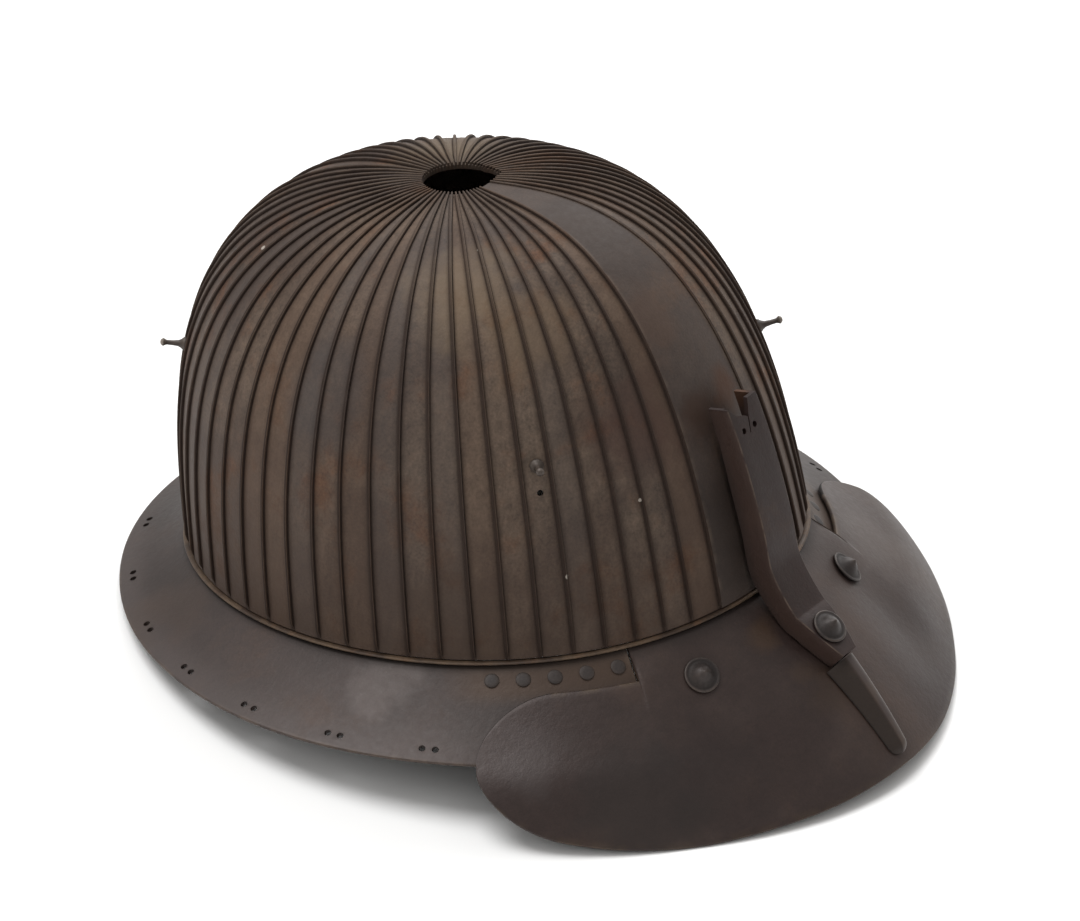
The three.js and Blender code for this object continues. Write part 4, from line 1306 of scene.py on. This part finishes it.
# %% Pins and holes
PIN_TABLE = {
    "pin_front_right": (1, 5, 66.5),
    "pin_front_left": (-1, 5, 62.0),
    "pin_back_right": (1, 22, 70.0),
    "pin_back_left": (-1, 22, 70.0),
}
PIN_HOLE_DROP, PIN_HOLE_RADIUS, PIN_RISE, PIN_ROOT = 9.0, 1.1, 10.0, 1.7
# Rows: radius, height, worn edge and painted highlight, dirt and painted shade; the ball end carries a
# painted highlight
PIN_PROFILE = [
    (0, 0, 0, 1), (2.4, 0, 0, 1), (2.5, 0.25, 0.2, 0.6), (2.3, 0.9, 0.3, 0.2), (1.6, 1.7, 0.1, 0.3),
    (1.1, 2.7, 0, 0.2), (0.9, 4.6, 0, 0), (0.85, 6.6, 0, 0.2), (0.95, 7.0, 0.2, 0), (1.18, 7.4, 0.6, 0),
    (1.45, 7.95, 0.8, 0), (1.12, 8.5, 0.9, 0), (0.7, 8.88, 1, 0), (0, 9.0, 1, 0),
]
# A punch is this long, half of it on either side of the surface
PUNCH_LENGTH, PUNCH_SIDES = 12, 18
HOLE_PLATES = ("plates_right_3", "plates_left_3", "plates_right_12", "plates_left_12")


def pin_places():
    places, holes = [], []
    angles = plate_angles()
    for side, plate, height in PIN_TABLE.values():
        angle = side * (angles[plate] + angles[plate + 1]) / 2
        share = share_at_height(angle, height)
        normal = skin_normal(angle, share)
        level = unit(np.array([normal[0], normal[1], 0.0]))
        rise = math.radians(PIN_RISE)
        way = level * math.cos(rise) + np.array([0, 0, math.sin(rise)])
        tilt = math.sin(math.acos(min(way @ normal, 1))) * PIN_ROOT
        places.append((skin(angle, share) + normal * (tilt + GAP + SURFACE), way))
        low = share_at_height(angle, height - PIN_HOLE_DROP)
        way = skin_normal(angle, low)
        holes.append((skin(angle, low) - way * PUNCH_LENGTH / 2, way))
    return places, holes


def set_punches(name, radius, length, sides, places, iron):
    """Round punches at (point, direction) places, as one piece to cut with."""
    profile = [(0, 0, 0, 1), (radius, 0, 0, 1), (radius, length, 0, 1), (0, length, 0, 1)]
    return set_fasteners(name, turned_shape("punch", profile, sides), places, iron)


pins_at, pin_holes_at = pin_places()
pins = set_fasteners("pins", turned_shape("pin_master", PIN_PROFILE, 20), pins_at, IRONS["pin_iron"])
add_piece(tidy_solid(pins, PIN_CREASE), list(PIN_TABLE), "pin_iron")
punches = set_punches("hole_punches", PIN_HOLE_RADIUS, PUNCH_LENGTH, 20, pin_holes_at, IRONS["bowl_iron"])
# The exact solver leaves the punch itself standing in one of these plates, the fast one doesn't
for name in HOLE_PLATES:
    PLATES_MADE[name] = tidy_solid(cut_away(PLATES_MADE[name], punches, "FAST"))
bpy.data.objects.remove(punches)
for name, piece in PLATES_MADE.items():
    add_piece(piece, [name], "front_iron" if name == "front_plate" else "bowl_iron")
print("Plates with holes:", HOLE_PLATES)


# %% Wedges that cut notches
def wedge(name, outline, low, high, place):
    """Prism on an outline, closed, between two heights of its own frame."""
    count = len(outline)
    points = [(x, y, low) for x, y in outline] + [(x, y, high) for x, y in outline]
    faces = [tuple(reversed(range(count))), tuple(range(count, 2 * count))]
    faces += [(i, (i + 1) % count, count + (i + 1) % count, count + i) for i in range(count)]
    mesh = bpy.data.meshes.new(name)
    mesh.from_pydata([tuple(p) for p in on_floor(place(np.array(points, dtype=float)))], [], faces)
    return tidy_solid(link(name, mesh))


# %% [markdown]
# ## The rim
# A rounded iron strip runs round the bowl's foot and shows as a thin bright lip. It follows a path, so
# a tree lays a circle of points along the foot's curve and sweeps a small oval along it.


# %% Rim along the foot
# How much slimmer the rim is than the frame's, and the corners of its oval
RIM_SLIMMER, RIM_CORNERS = 0.2, 18


def build_rim_tree():
    inputs = {
        "Geometry": (SHAPE, None),
        "Iron": ("NodeSocketMaterial", None),
        "Outward": (NUMBER, (RIM_PROUD + RIM_INSET) / 2 - RIM_SLIMMER),
        "Thickness": (NUMBER, (RIM_TOP - RIM_BOTTOM) / 2 - RIM_SLIMMER),
    }
    tree, given, result = new_group("Rim Along Foot", "GeometryNodeTree", inputs, {"Geometry": SHAPE})
    to_curve = tree.nodes.new("GeometryNodeMeshToCurve")
    wire(tree, given["Geometry"], to_curve.inputs[0])
    stand = tree.nodes.new("GeometryNodeSetCurveNormal")
    stand.mode = "Z_UP"
    wire(tree, to_curve.outputs[0], stand.inputs["Curve"])
    oval = tree.nodes.new("GeometryNodeCurvePrimitiveCircle")
    oval.inputs["Resolution"].default_value = RIM_CORNERS
    oval.inputs["Radius"].default_value = 1.0
    squash = tree.nodes.new("GeometryNodeTransform")
    wire(tree, oval.outputs[0], squash.inputs["Geometry"])
    wire(tree, vector_of(tree, given["Outward"], given["Thickness"], 1.0), squash.inputs["Scale"])
    sweep = tree.nodes.new("GeometryNodeCurveToMesh")
    wire(tree, stand.outputs[0], sweep.inputs["Curve"])
    wire(tree, squash.outputs[0], sweep.inputs["Profile Curve"])
    finish_tree(tree, sweep.outputs[0], given["Iron"], result)
    return tree


def add_rim():
    turn = np.radians(np.linspace(0, 360, 361)[:-1])
    reach = np.where(np.cos(turn) > 0, FRONT_REACH, BACK_REACH)
    across, along = -HALF_WIDTH * np.sin(turn), -reach * np.cos(turn)
    foot = np.stack([across, along, brow(np.degrees(turn))], axis=-1)
    out = unit(foot * (1, 1, 0))
    path = foot + out * (RIM_PROUD - RIM_INSET) / 2 + np.array([0, 0, (RIM_TOP + RIM_BOTTOM) / 2])
    mesh = bpy.data.meshes.new("rim_path")
    count = len(path)
    mesh.from_pydata(path.tolist(), [(i, (i + 1) % count) for i in range(count)], [])
    rim = bake_tree("bowl_rim", mesh, build_rim_tree(), {"Iron": IRONS["rim_iron"]})
    return tidy_solid(rim, RIM_CREASE)


rim = add_rim()
add_piece(rim, ["bowl_rim"], "rim_iron")
print("Rim faces:", len(rim.data.polygons))

# %% [markdown]
# ## The neck plate and the peak
# Both are hammered sheets, so each is a swept section: the outer face, a rounded edge, the inner face
# and the other edge. Sections stand close where the wings turn. The lacing holes are punched in pairs.

# %% Swept sheets
EDGE_STEPS = 5
NECK_ROWS, NECK_COLUMNS, PEAK_ROWS = 26, 300, 30
NECK_ROUND, PEAK_ROUND = 0.7, 0.6
# The neck plate's brown front strip: the angles where it ends and the shares where it fades
STRIP_END, STRIP_FADE = (56, 66), (0.24, 0.42)


def sheet_ring(top, under, rounding):
    """Section of a sheet: top face, rounded end, underside, rounded start."""
    ring = [*top]
    for face, other, inner in ((top[-1], under[-1], top[-2]), (under[0], top[0], under[1])):
        middle = (face + other) / 2
        half = (face - other) / 2
        out = unit(face - inner) * np.linalg.norm(half) * rounding
        turns = [math.pi * k / (EDGE_STEPS + 1) for k in range(1, EDGE_STEPS + 1)]
        ends = [middle + half * math.cos(t) + out * math.sin(t) for t in turns]
        ring += ends
        if face is top[-1]:
            ring += [*under[::-1]]
    return ring


def ring_marks(rows, edge, inner_edge):
    """Worn edge marks with painted highlight along one ring of a sheet with that many rows a face."""
    wear_and_highlight = [0.0] * rows + [edge] * EDGE_STEPS + [0.0] * rows + [inner_edge] * EDGE_STEPS
    wear_and_highlight[rows - 1] = edge * 0.6
    wear_and_highlight[0] = inner_edge * 0.6
    return wear_and_highlight


def add_neck_plate():
    shares = np.linspace(0, 1, NECK_ROWS)
    shares[-1] = 0.985
    rings, wear_and_highlight, dirt_shade, tones = [], [], [], []
    for column in range(NECK_COLUMNS + 1):
        angle = NECK_END + (360 - 2 * NECK_END) * column / NECK_COLUMNS
        folded = angle if angle <= 180 else angle - 360
        top, under = neck(folded, shares), neck(folded, shares, -NECK_WALL)
        rings.append(sheet_ring(list(top), list(under), NECK_ROUND))
        end = 1.0 if column in (0, NECK_COLUMNS) else 0.0
        wear_and_highlight.append([max(end, mark) for mark in ring_marks(NECK_ROWS, 0.7, 0.0)])
        ring_dirt_shade = np.zeros(len(wear_and_highlight[-1]))
        # Dirt and painted shade on the neck plate just under the rim
        ring_dirt_shade[:NECK_ROWS] = np.maximum(1 - shares / 0.09, 0) * 0.8
        dirt_shade.append(ring_dirt_shade)
        tone = np.zeros(len(ring_dirt_shade))
        strip = 1 - smooth(abs(folded), *STRIP_END)
        brown = 0.85 * strip * (1 - smooth(shares, *STRIP_FADE))
        tone[:NECK_ROWS] = brown - 0.35 * smooth(shares, 0.5, 1) * (1 - strip)
        tones.append(tone)
    mesh = ring_mesh("neck_plate", on_floor(rings), {"edge": wear_and_highlight, "recess": dirt_shade, "tone": tones})
    return tidy_solid(link("neck_plate", mesh), SHEET_CREASE)


LACE_ANGLES = [65, 80, 95.7, 111, 126, 142.5, 159.5, 180]
LACE_SPREAD, LACE_EDGE, LACE_RADIUS = 4.8, 5.3, 1.2


def lace_places():
    places = []
    for middle in LACE_ANGLES:
        for side in (1,) if middle == 180 else (1, -1):
            for half in (-0.5, 0.5):
                spread = math.degrees(LACE_SPREAD / (foot_reach(middle) + NECK_REACH))
                turned = side * (middle + half * spread)
                angle = turned - 360 if turned > 180 else turned
                width = np.linalg.norm(neck(angle, 1.0) - neck(angle, 0.0))
                share = 1 - LACE_EDGE / width
                normal = neck_normal(angle, share)
                places.append((neck(angle, share) - normal * PUNCH_LENGTH / 2, normal))
    return places


neck_plate = add_neck_plate()
punches = set_punches(
    "lace_punches", LACE_RADIUS, PUNCH_LENGTH, PUNCH_SIDES, lace_places(), IRONS["neck_iron"]
)
neck_plate = tidy_solid(cut_away(neck_plate, punches), SHEET_CREASE)
bpy.data.objects.remove(punches)
add_piece(neck_plate, ["neck_plate"], "neck_iron", IRONS["neck_iron"])
print("Neck plate faces:", len(neck_plate.data.polygons), "holes:", 2 * (2 * len(LACE_ANGLES) - 1))


# %% The peak
def peak_angles():
    middle = [(NECK_END - 0.5) * i / 60 for i in range(61)]
    tip = PEAK_TIP - 0.05
    wing = [NECK_END + (tip - NECK_END) * math.sin(math.pi / 2 * i / 56) for i in range(57)]
    half = middle + wing
    return [-angle for angle in reversed(half[1:])] + half


def add_peak():
    rings, wear_and_highlight, dirt_shade = [], [], []
    for angle in peak_angles():
        inner, outer = peak_span(angle)
        shares = inner + (outer - inner) * np.linspace(0, 1, PEAK_ROWS)
        top, under = peak_top(angle, shares), peak_under(angle, shares)
        straight = NECK_END <= abs(angle) < INNER_ROUND + 1
        rings.append(sheet_ring(list(top), list(under), PEAK_ROUND))
        wear_and_highlight.append(ring_marks(PEAK_ROWS, 0.5, 1.0 if straight else 0.0))
        ring_dirt_shade = np.zeros(len(wear_and_highlight[-1]))
        # Painted shadow line along the edge of the wing's tip, where it lies over the neck plate
        if abs(angle) > INNER_ROUND + 1:
            ring_dirt_shade[-EDGE_STEPS:] = 1.0
        # Dirt and painted shade just under the rim
        if abs(angle) < NECK_END:
            ring_dirt_shade[:PEAK_ROWS] = np.maximum(1 - shares / 0.08, 0) * 0.7
        dirt_shade.append(ring_dirt_shade)
    mesh = ring_mesh("peak", on_floor(rings), {"edge": wear_and_highlight, "recess": dirt_shade})
    return tidy_solid(link("peak", mesh), SHEET_CREASE)


peak_piece = add_peak()
add_piece(peak_piece, ["peak"], "peak_iron", IRONS["peak_iron"])
print("Peak faces:", len(peak_piece.data.polygons))

# %% [markdown]
# ## The crest holder and the ridge
# A channel of bent sheet stands up the middle of the brow, turns out over the peak and is pinned there
# by a rivet through its narrowed end. A forged ridge goes on from it to the brim. Both follow one path
# in the middle plane, which a smooth spline draws through points on the bowl and on the peak.

# %% Path of the holder
HOLDER_SHIFT, HOLDER_HALF, HOLDER_TIP_HALF, HOLDER_DEPTH, HOLDER_WALL = 1.5, 8.5, 4.0, 8.0, 1.6
HOLDER_TOP, HOLDER_OFF, HOLDER_BEND, HOLDER_SEAT, HOLDER_END = 71.0, 3.6, 9.0, 0.2, 0.47
HOLDER_LIFT, TAPER_START, TAPER_POWER = 0.3, 0.8, 1.6
# Height over the bowl's foot at which the face is cut off, and how much the cut rises to the front
HOLDER_CUT, HOLDER_CUT_SLOPE = 70.1, 0.145
# How much deeper the side walls are halfway down
HOLDER_DEEPER = 1.7
HOLDER_STEPS, HOLDER_CORNER, CORNER_STEPS = 120, 0.4, 4


def centripetal(points, steps=60):
    """Smooth spline through points, sampled finely, with its length along it."""
    points = np.asarray(points)
    ends = np.vstack([2 * points[0] - points[1], points, 2 * points[-1] - points[-2]])
    samples = []
    for i in range(len(points) - 1):
        a, b, c, d = ends[i : i + 4]
        first, middle, last = (np.linalg.norm(q - p) ** 0.5 for p, q in ((a, b), (b, c), (c, d)))
        start = ((b - a) / first - (c - a) / (first + middle) + (c - b) / middle) * middle
        end = ((c - b) / middle - (d - b) / (middle + last) + (d - c) / last) * middle
        square, cube = 3 * (c - b) - 2 * start - end, 2 * (b - c) + start + end
        for t in np.linspace(0, 1, steps, endpoint=False):
            samples.append(b + start * t + square * t**2 + cube * t**3)
    samples.append(points[-1])
    samples = np.array(samples)
    run = np.concatenate([[0], np.cumsum(np.linalg.norm(np.diff(samples, axis=0), axis=1))])
    return samples, run / run[-1]


def over_peak(share, lift):
    return peak_top(0, share) + peak_normal(0, share) * lift


def holder_path():
    upper = []
    for height in np.linspace(HOLDER_TOP, HOLDER_BEND, 5):
        front = skin(0, share_at_height(0, height))[1]
        upper.append((0, front - HOLDER_OFF, height))
    lower = [over_peak(share, GAP + HOLDER_LIFT) for share in np.linspace(HOLDER_SEAT, HOLDER_END, 5)]
    return centripetal(upper + [tuple(p) for p in lower])


PATH, RUN = holder_path()


def path_point(place):
    return np.array([np.interp(place, RUN, PATH[:, i]) for i in range(3)])


def path_frame(place):
    """Function that puts (across, depth, down) beside the path, and the way out of the helmet."""
    step = 0.004
    tangent = unit(path_point(min(place + step, 1)) - path_point(max(place - step, 0)))
    outward = unit(np.array([0.0, tangent[2], -tangent[1]]))
    centre = path_point(place)

    def at(x, depth, down=0.0):
        return centre + outward * depth + tangent * down + np.array([x + HOLDER_SHIFT, 0, 0])

    return at, outward, tangent


print("Holder path from", PATH[0].round(1), "to", PATH[-1].round(1))


# %% The holder
def holder_half(place):
    taper = max(place - TAPER_START, 0) / (1 - TAPER_START)
    return HOLDER_HALF - (HOLDER_HALF - HOLDER_TIP_HALF) * taper**TAPER_POWER


def channel_section(half):
    """Outline of a bent channel, outer face then inner, and the number of outer points."""
    corner = [math.pi / 2 * k / CORNER_STEPS for k in range(CORNER_STEPS + 1)]
    outer = [(-half, d) for d in (0.0, 0.35, 2.5, 5.0)]
    for a in corner:
        x = -half + HOLDER_CORNER - HOLDER_CORNER * math.cos(a)
        outer.append((x, HOLDER_DEPTH - HOLDER_CORNER + HOLDER_CORNER * math.sin(a)))
    outer += [(x * (half - HOLDER_CORNER), HOLDER_DEPTH) for x in (-0.5, 0.0)]
    outer += [(-x, d) for x, d in outer[-2::-1]]
    inset = half - HOLDER_WALL
    floor = HOLDER_DEPTH - HOLDER_WALL
    inner = [(max(min(x, inset), -inset), min(depth, floor)) for x, depth in outer]
    return outer + inner[::-1], len(outer)


def add_holder():
    rings, wear_and_highlight, dirt_shade, tones = [], [], [], []
    for step in range(HOLDER_STEPS + 1):
        place = step / HOLDER_STEPS
        at, _, _ = path_frame(place)
        section, count = channel_section(holder_half(place))
        deeper = HOLDER_DEEPER * smooth(place, 0.0, 0.35) * (1 - smooth(place, 0.6, 0.85))
        section = [(x, depth - deeper if depth < 0.4 else depth) for x, depth in section]
        rings.append([at(x, depth) for x, depth in section])
        depths = [depth for _, depth in section[:count]]
        corner = [1.0 if HOLDER_DEPTH - 0.35 < d < HOLDER_DEPTH - 0.02 else 0.0 for d in depths]
        wear_and_highlight.append(corner + [0.0] * count)
        # Dirt and painted shade along the side walls' rear edges, where they stand off the plate
        dirt_shade.append([max(0.0, 0.3 - d / 6) for d in depths] + [0.2] * count)
        tones.append([-0.3 if d > HOLDER_DEPTH - 0.3 else 0.8 for d in depths] + [1.0] * count)
    mesh = ring_mesh("crest_holder", on_floor(rings), {"edge": wear_and_highlight, "recess": dirt_shade, "tone": tones})
    return tidy_solid(link("crest_holder", mesh), SHEET_CREASE)


# Torn edge of the face: across from its middle and down from the cut, in mm, with the slit below
TORN_FACE = [
    (-8.1, -8.0), (-8.1, 0.1), (-7.2, 1.3), (-6.2, 2.2), (-5.2, 3.3), (-4.3, 4.1), (-3.0, 4.0),
    (-1.6, 4.4), (-0.6, 4.9), (0.2, 5.7), (-1.2, 11.0), (-0.75, 11.1), (0.65, 5.9), (1.1, 4.6),
    (2.0, 2.9), (2.7, 1.0), (3.4, -1.2), (4.3, -8.0),
]
HOLDER_HOLE_SPREAD, HOLDER_HOLE_SHIFT, HOLDER_HOLE_DROP, HOLDER_HOLE_RADIUS = 6.3, -0.9, 13.0, 1.1
HOLDER_PUNCH = 8


def cut_holder(holder):
    at, outward, down = path_frame(0.0)
    drop = (at(0, HOLDER_DEPTH)[2] - HOLDER_CUT) / -down[2]

    def beside(points):
        return np.array([at(-x, HOLDER_DEPTH + z, y + drop) for x, y, z in points])

    def level(points):
        behind = points[:, 1] - FRONT_REACH - at(0, HOLDER_DEPTH)[1]
        rise = np.array([[0, 0, -HOLDER_CUT_SLOPE * way] for way in behind])
        return points + rise + np.array([0, -FRONT_REACH, HOLDER_CUT])

    face = [(-x, y) for x, y in TORN_FACE]
    block = [(-20, -20), (20, -20), (20, 60), (-20, 60)]
    cutters = (wedge("top_cut", block, 0, 20, level), wedge("torn_face", face, -2.2, 3.0, beside))
    for cutter in cutters:
        holder = cut_away(holder, cutter)
        bpy.data.objects.remove(cutter)
    places = []
    for half in (-0.5, 0.5):
        spot = at(HOLDER_HOLE_SHIFT + half * HOLDER_HOLE_SPREAD, HOLDER_DEPTH, HOLDER_HOLE_DROP)
        places.append((spot - outward * HOLDER_PUNCH / 2, outward))
    punches = set_punches(
        "holder_punches", HOLDER_HOLE_RADIUS, HOLDER_PUNCH, PUNCH_SIDES, places, IRONS["holder_iron"]
    )
    holder = cut_away(holder, punches)
    bpy.data.objects.remove(punches)
    return tidy_solid(holder, SHEET_CREASE)


holder = cut_holder(add_holder())
add_piece(holder, ["crest_holder"], "holder_iron", IRONS["holder_iron"])
print("Holder faces:", len(holder.data.polygons))

# %% The ridge
RIDGE_HALF, RIDGE_TIP_HALF, RIDGE_HEIGHT, RIDGE_TIP_HEIGHT = 6.8, 4.1, 6.4, 3.6
RIDGE_START, RIDGE_END = HOLDER_END + 0.006, 0.955
RIDGE_SECTION = [
    (-1.0, 0.0), (-0.95, 0.12), (-0.78, 0.32), (-0.5, 0.6), (-0.26, 0.84), (-0.1, 0.96), (0.06, 1.0),
    (0.24, 0.98), (0.42, 0.9), (0.6, 0.74), (0.78, 0.5), (0.9, 0.28), (0.97, 0.12), (1.0, 0.0),
]
RIDGE_ROUND, RIDGE_TIP_LEFT, RIDGE_STEPS = 0.9, 0.12, 60


def add_ridge():
    rings, wear_and_highlight, dirt_shade, tones = [], [], [], []
    for step in range(RIDGE_STEPS + 1):
        along = step / RIDGE_STEPS
        share = RIDGE_START + (RIDGE_END - RIDGE_START) * along
        past = max((along - RIDGE_ROUND) / (1 - RIDGE_ROUND), 0)
        round_off = math.sqrt(1 - (1 - RIDGE_TIP_LEFT) * past**2)
        half = (RIDGE_HALF + (RIDGE_TIP_HALF - RIDGE_HALF) * along) * round_off
        height = RIDGE_HEIGHT + (RIDGE_TIP_HEIGHT - RIDGE_HEIGHT) * along
        height *= round_off
        ring = []
        for x, lift in RIDGE_SECTION:
            aside = np.array([x * half + HOLDER_SHIFT, 0, 0])
            ring.append(over_peak(share, GAP + height * lift) + aside)
        rings.append(ring)
        # Painted light: a painted highlight along the crest, painted shade on the near flank through dirt
        # and its darker tone, and the paler tone on the lit far side
        wear_and_highlight.append([0.35 if -0.2 < x < 0.5 else 0.0 for x, _ in RIDGE_SECTION])
        dirt_shade.append([max(0.65 if x < -0.2 else 0.0, 0.9 - lift * 3) for x, lift in RIDGE_SECTION])
        tones.append([0.6 if x < -0.15 else -0.7 for x, _ in RIDGE_SECTION])
    mesh = ring_mesh("peak_ridge", on_floor(rings), {"edge": wear_and_highlight, "recess": dirt_shade, "tone": tones})
    return tidy_solid(link("peak_ridge", mesh), SHEET_CREASE)


ridge = add_ridge()
add_piece(ridge, ["peak_ridge"], "peak_iron", IRONS["peak_iron"])

# %% [markdown]
# ## Rivets
# Three large rivets with a raised ring and a pointed middle hold the peak and the crest holder. The
# strip along the neck plate's front has small flat ones.

# %% Large rivets of the peak
# Rows: radius, height, worn edge and painted highlight, dirt and painted shade in the groove round the
# dome
BOSS_PROFILE = [
    (0, 0, 0, 1), (6.2, 0, 0, 1), (6.34, 0.25, 0.1, 0.5), (6.25, 0.6, 0.5, 0), (5.95, 0.78, 0.5, 0),
    (5.6, 0.74, 0.1, 0.3), (5.2, 0.62, 0, 0.75), (4.7, 0.7, 0, 0.7), (4.1, 1.1, 0, 0.5),
    (3.5, 1.75, 0, 0.35), (2.9, 2.4, 0, 0.15), (2.3, 2.95, 0, 0), (1.7, 3.35, 0.1, 0),
    (1.15, 3.7, 0.2, 0), (0.6, 4.2, 0.3, 0), (0, 4.6, 0.4, 0),
]
BOSS_TABLE = {"peak_rivet_right": (20.0, 0.228), "peak_rivet_left": (-22.8, 0.26)}
BOSS_PLACE, BOSS_LIFT = 0.9, 0.2


def boss_places():
    places = []
    for angle, share in BOSS_TABLE.values():
        normal = peak_normal(angle, share)
        places.append((peak_top(angle, share) + normal * (GAP + BOSS_LIFT), normal))
    at, outward, _ = path_frame(BOSS_PLACE)
    places.append((at(0, HOLDER_DEPTH + GAP), outward))
    return places


bosses = set_fasteners(
    "peak_rivets", turned_shape("boss_master", BOSS_PROFILE, 40), boss_places(), IRONS["rivet_iron"]
)
add_piece(tidy_solid(bosses, RIVET_CREASE), [*BOSS_TABLE, "peak_rivet_centre"], "rivet_iron")

# %% Small rivets of the strip
STRIP_FIRST, STRIP_STEP, STRIP_COUNT, STRIP_SHARE = 32.8, 5.6, 5, 0.14
# The left ones are hammered almost flush
STRIP_LIFT, STRIP_LEFT_LIFT = 0.0, -0.28
# Rows: radius, height, worn edge and painted highlight, dirt and painted shade at the foot
STRIP_PROFILE = [
    (0, -0.3, 0, 0.6), (2.5, -0.3, 0, 0.9), (2.6, -0.05, 0.1, 0.6), (2.4, 0.08, 0.5, 0.3),
    (1.9, 0.18, 0.2, 0.3), (1.0, 0.24, 0, 0.3), (0, 0.26, 0, 0.3),
]


def strip_places():
    places, names = [], []
    for side, word in ((1, "right"), (-1, "left")):
        for i in range(STRIP_COUNT):
            angle = side * (STRIP_FIRST + STRIP_STEP * i)
            normal = neck_normal(angle, STRIP_SHARE)
            lift = STRIP_LIFT if side == 1 else STRIP_LEFT_LIFT
            places.append((neck(angle, STRIP_SHARE) + normal * (GAP + lift), normal))
            names.append(f"strip_rivet_{word}_{i + 1}")
    return places, names


strip_at, strip_names = strip_places()
strip_rivets = set_fasteners(
    "strip_rivets", turned_shape("strip_master", STRIP_PROFILE, 24), strip_at, IRONS["rivet_iron"]
)
add_piece(tidy_solid(strip_rivets, RIVET_CREASE), strip_names, "rivet_iron")
print("Rivets:", len(strip_names) + 3)

# %% [markdown]
# ## Floor finish
# The floor is a pale matt sheet.


# %% Floor finish
FLOOR_COLOUR, FLOOR_ROUGHNESS = (0.9, 0.9, 0.9, 1), 0.9


def paint_floor():
    material = bpy.data.materials.new("pale_floor")
    material.use_nodes = True
    shader = material.node_tree.nodes["Principled BSDF"]
    shader.inputs["Base Color"].default_value = FLOOR_COLOUR
    shader.inputs["Roughness"].default_value = FLOOR_ROUGHNESS
    floor.data.materials.append(material)


paint_floor()
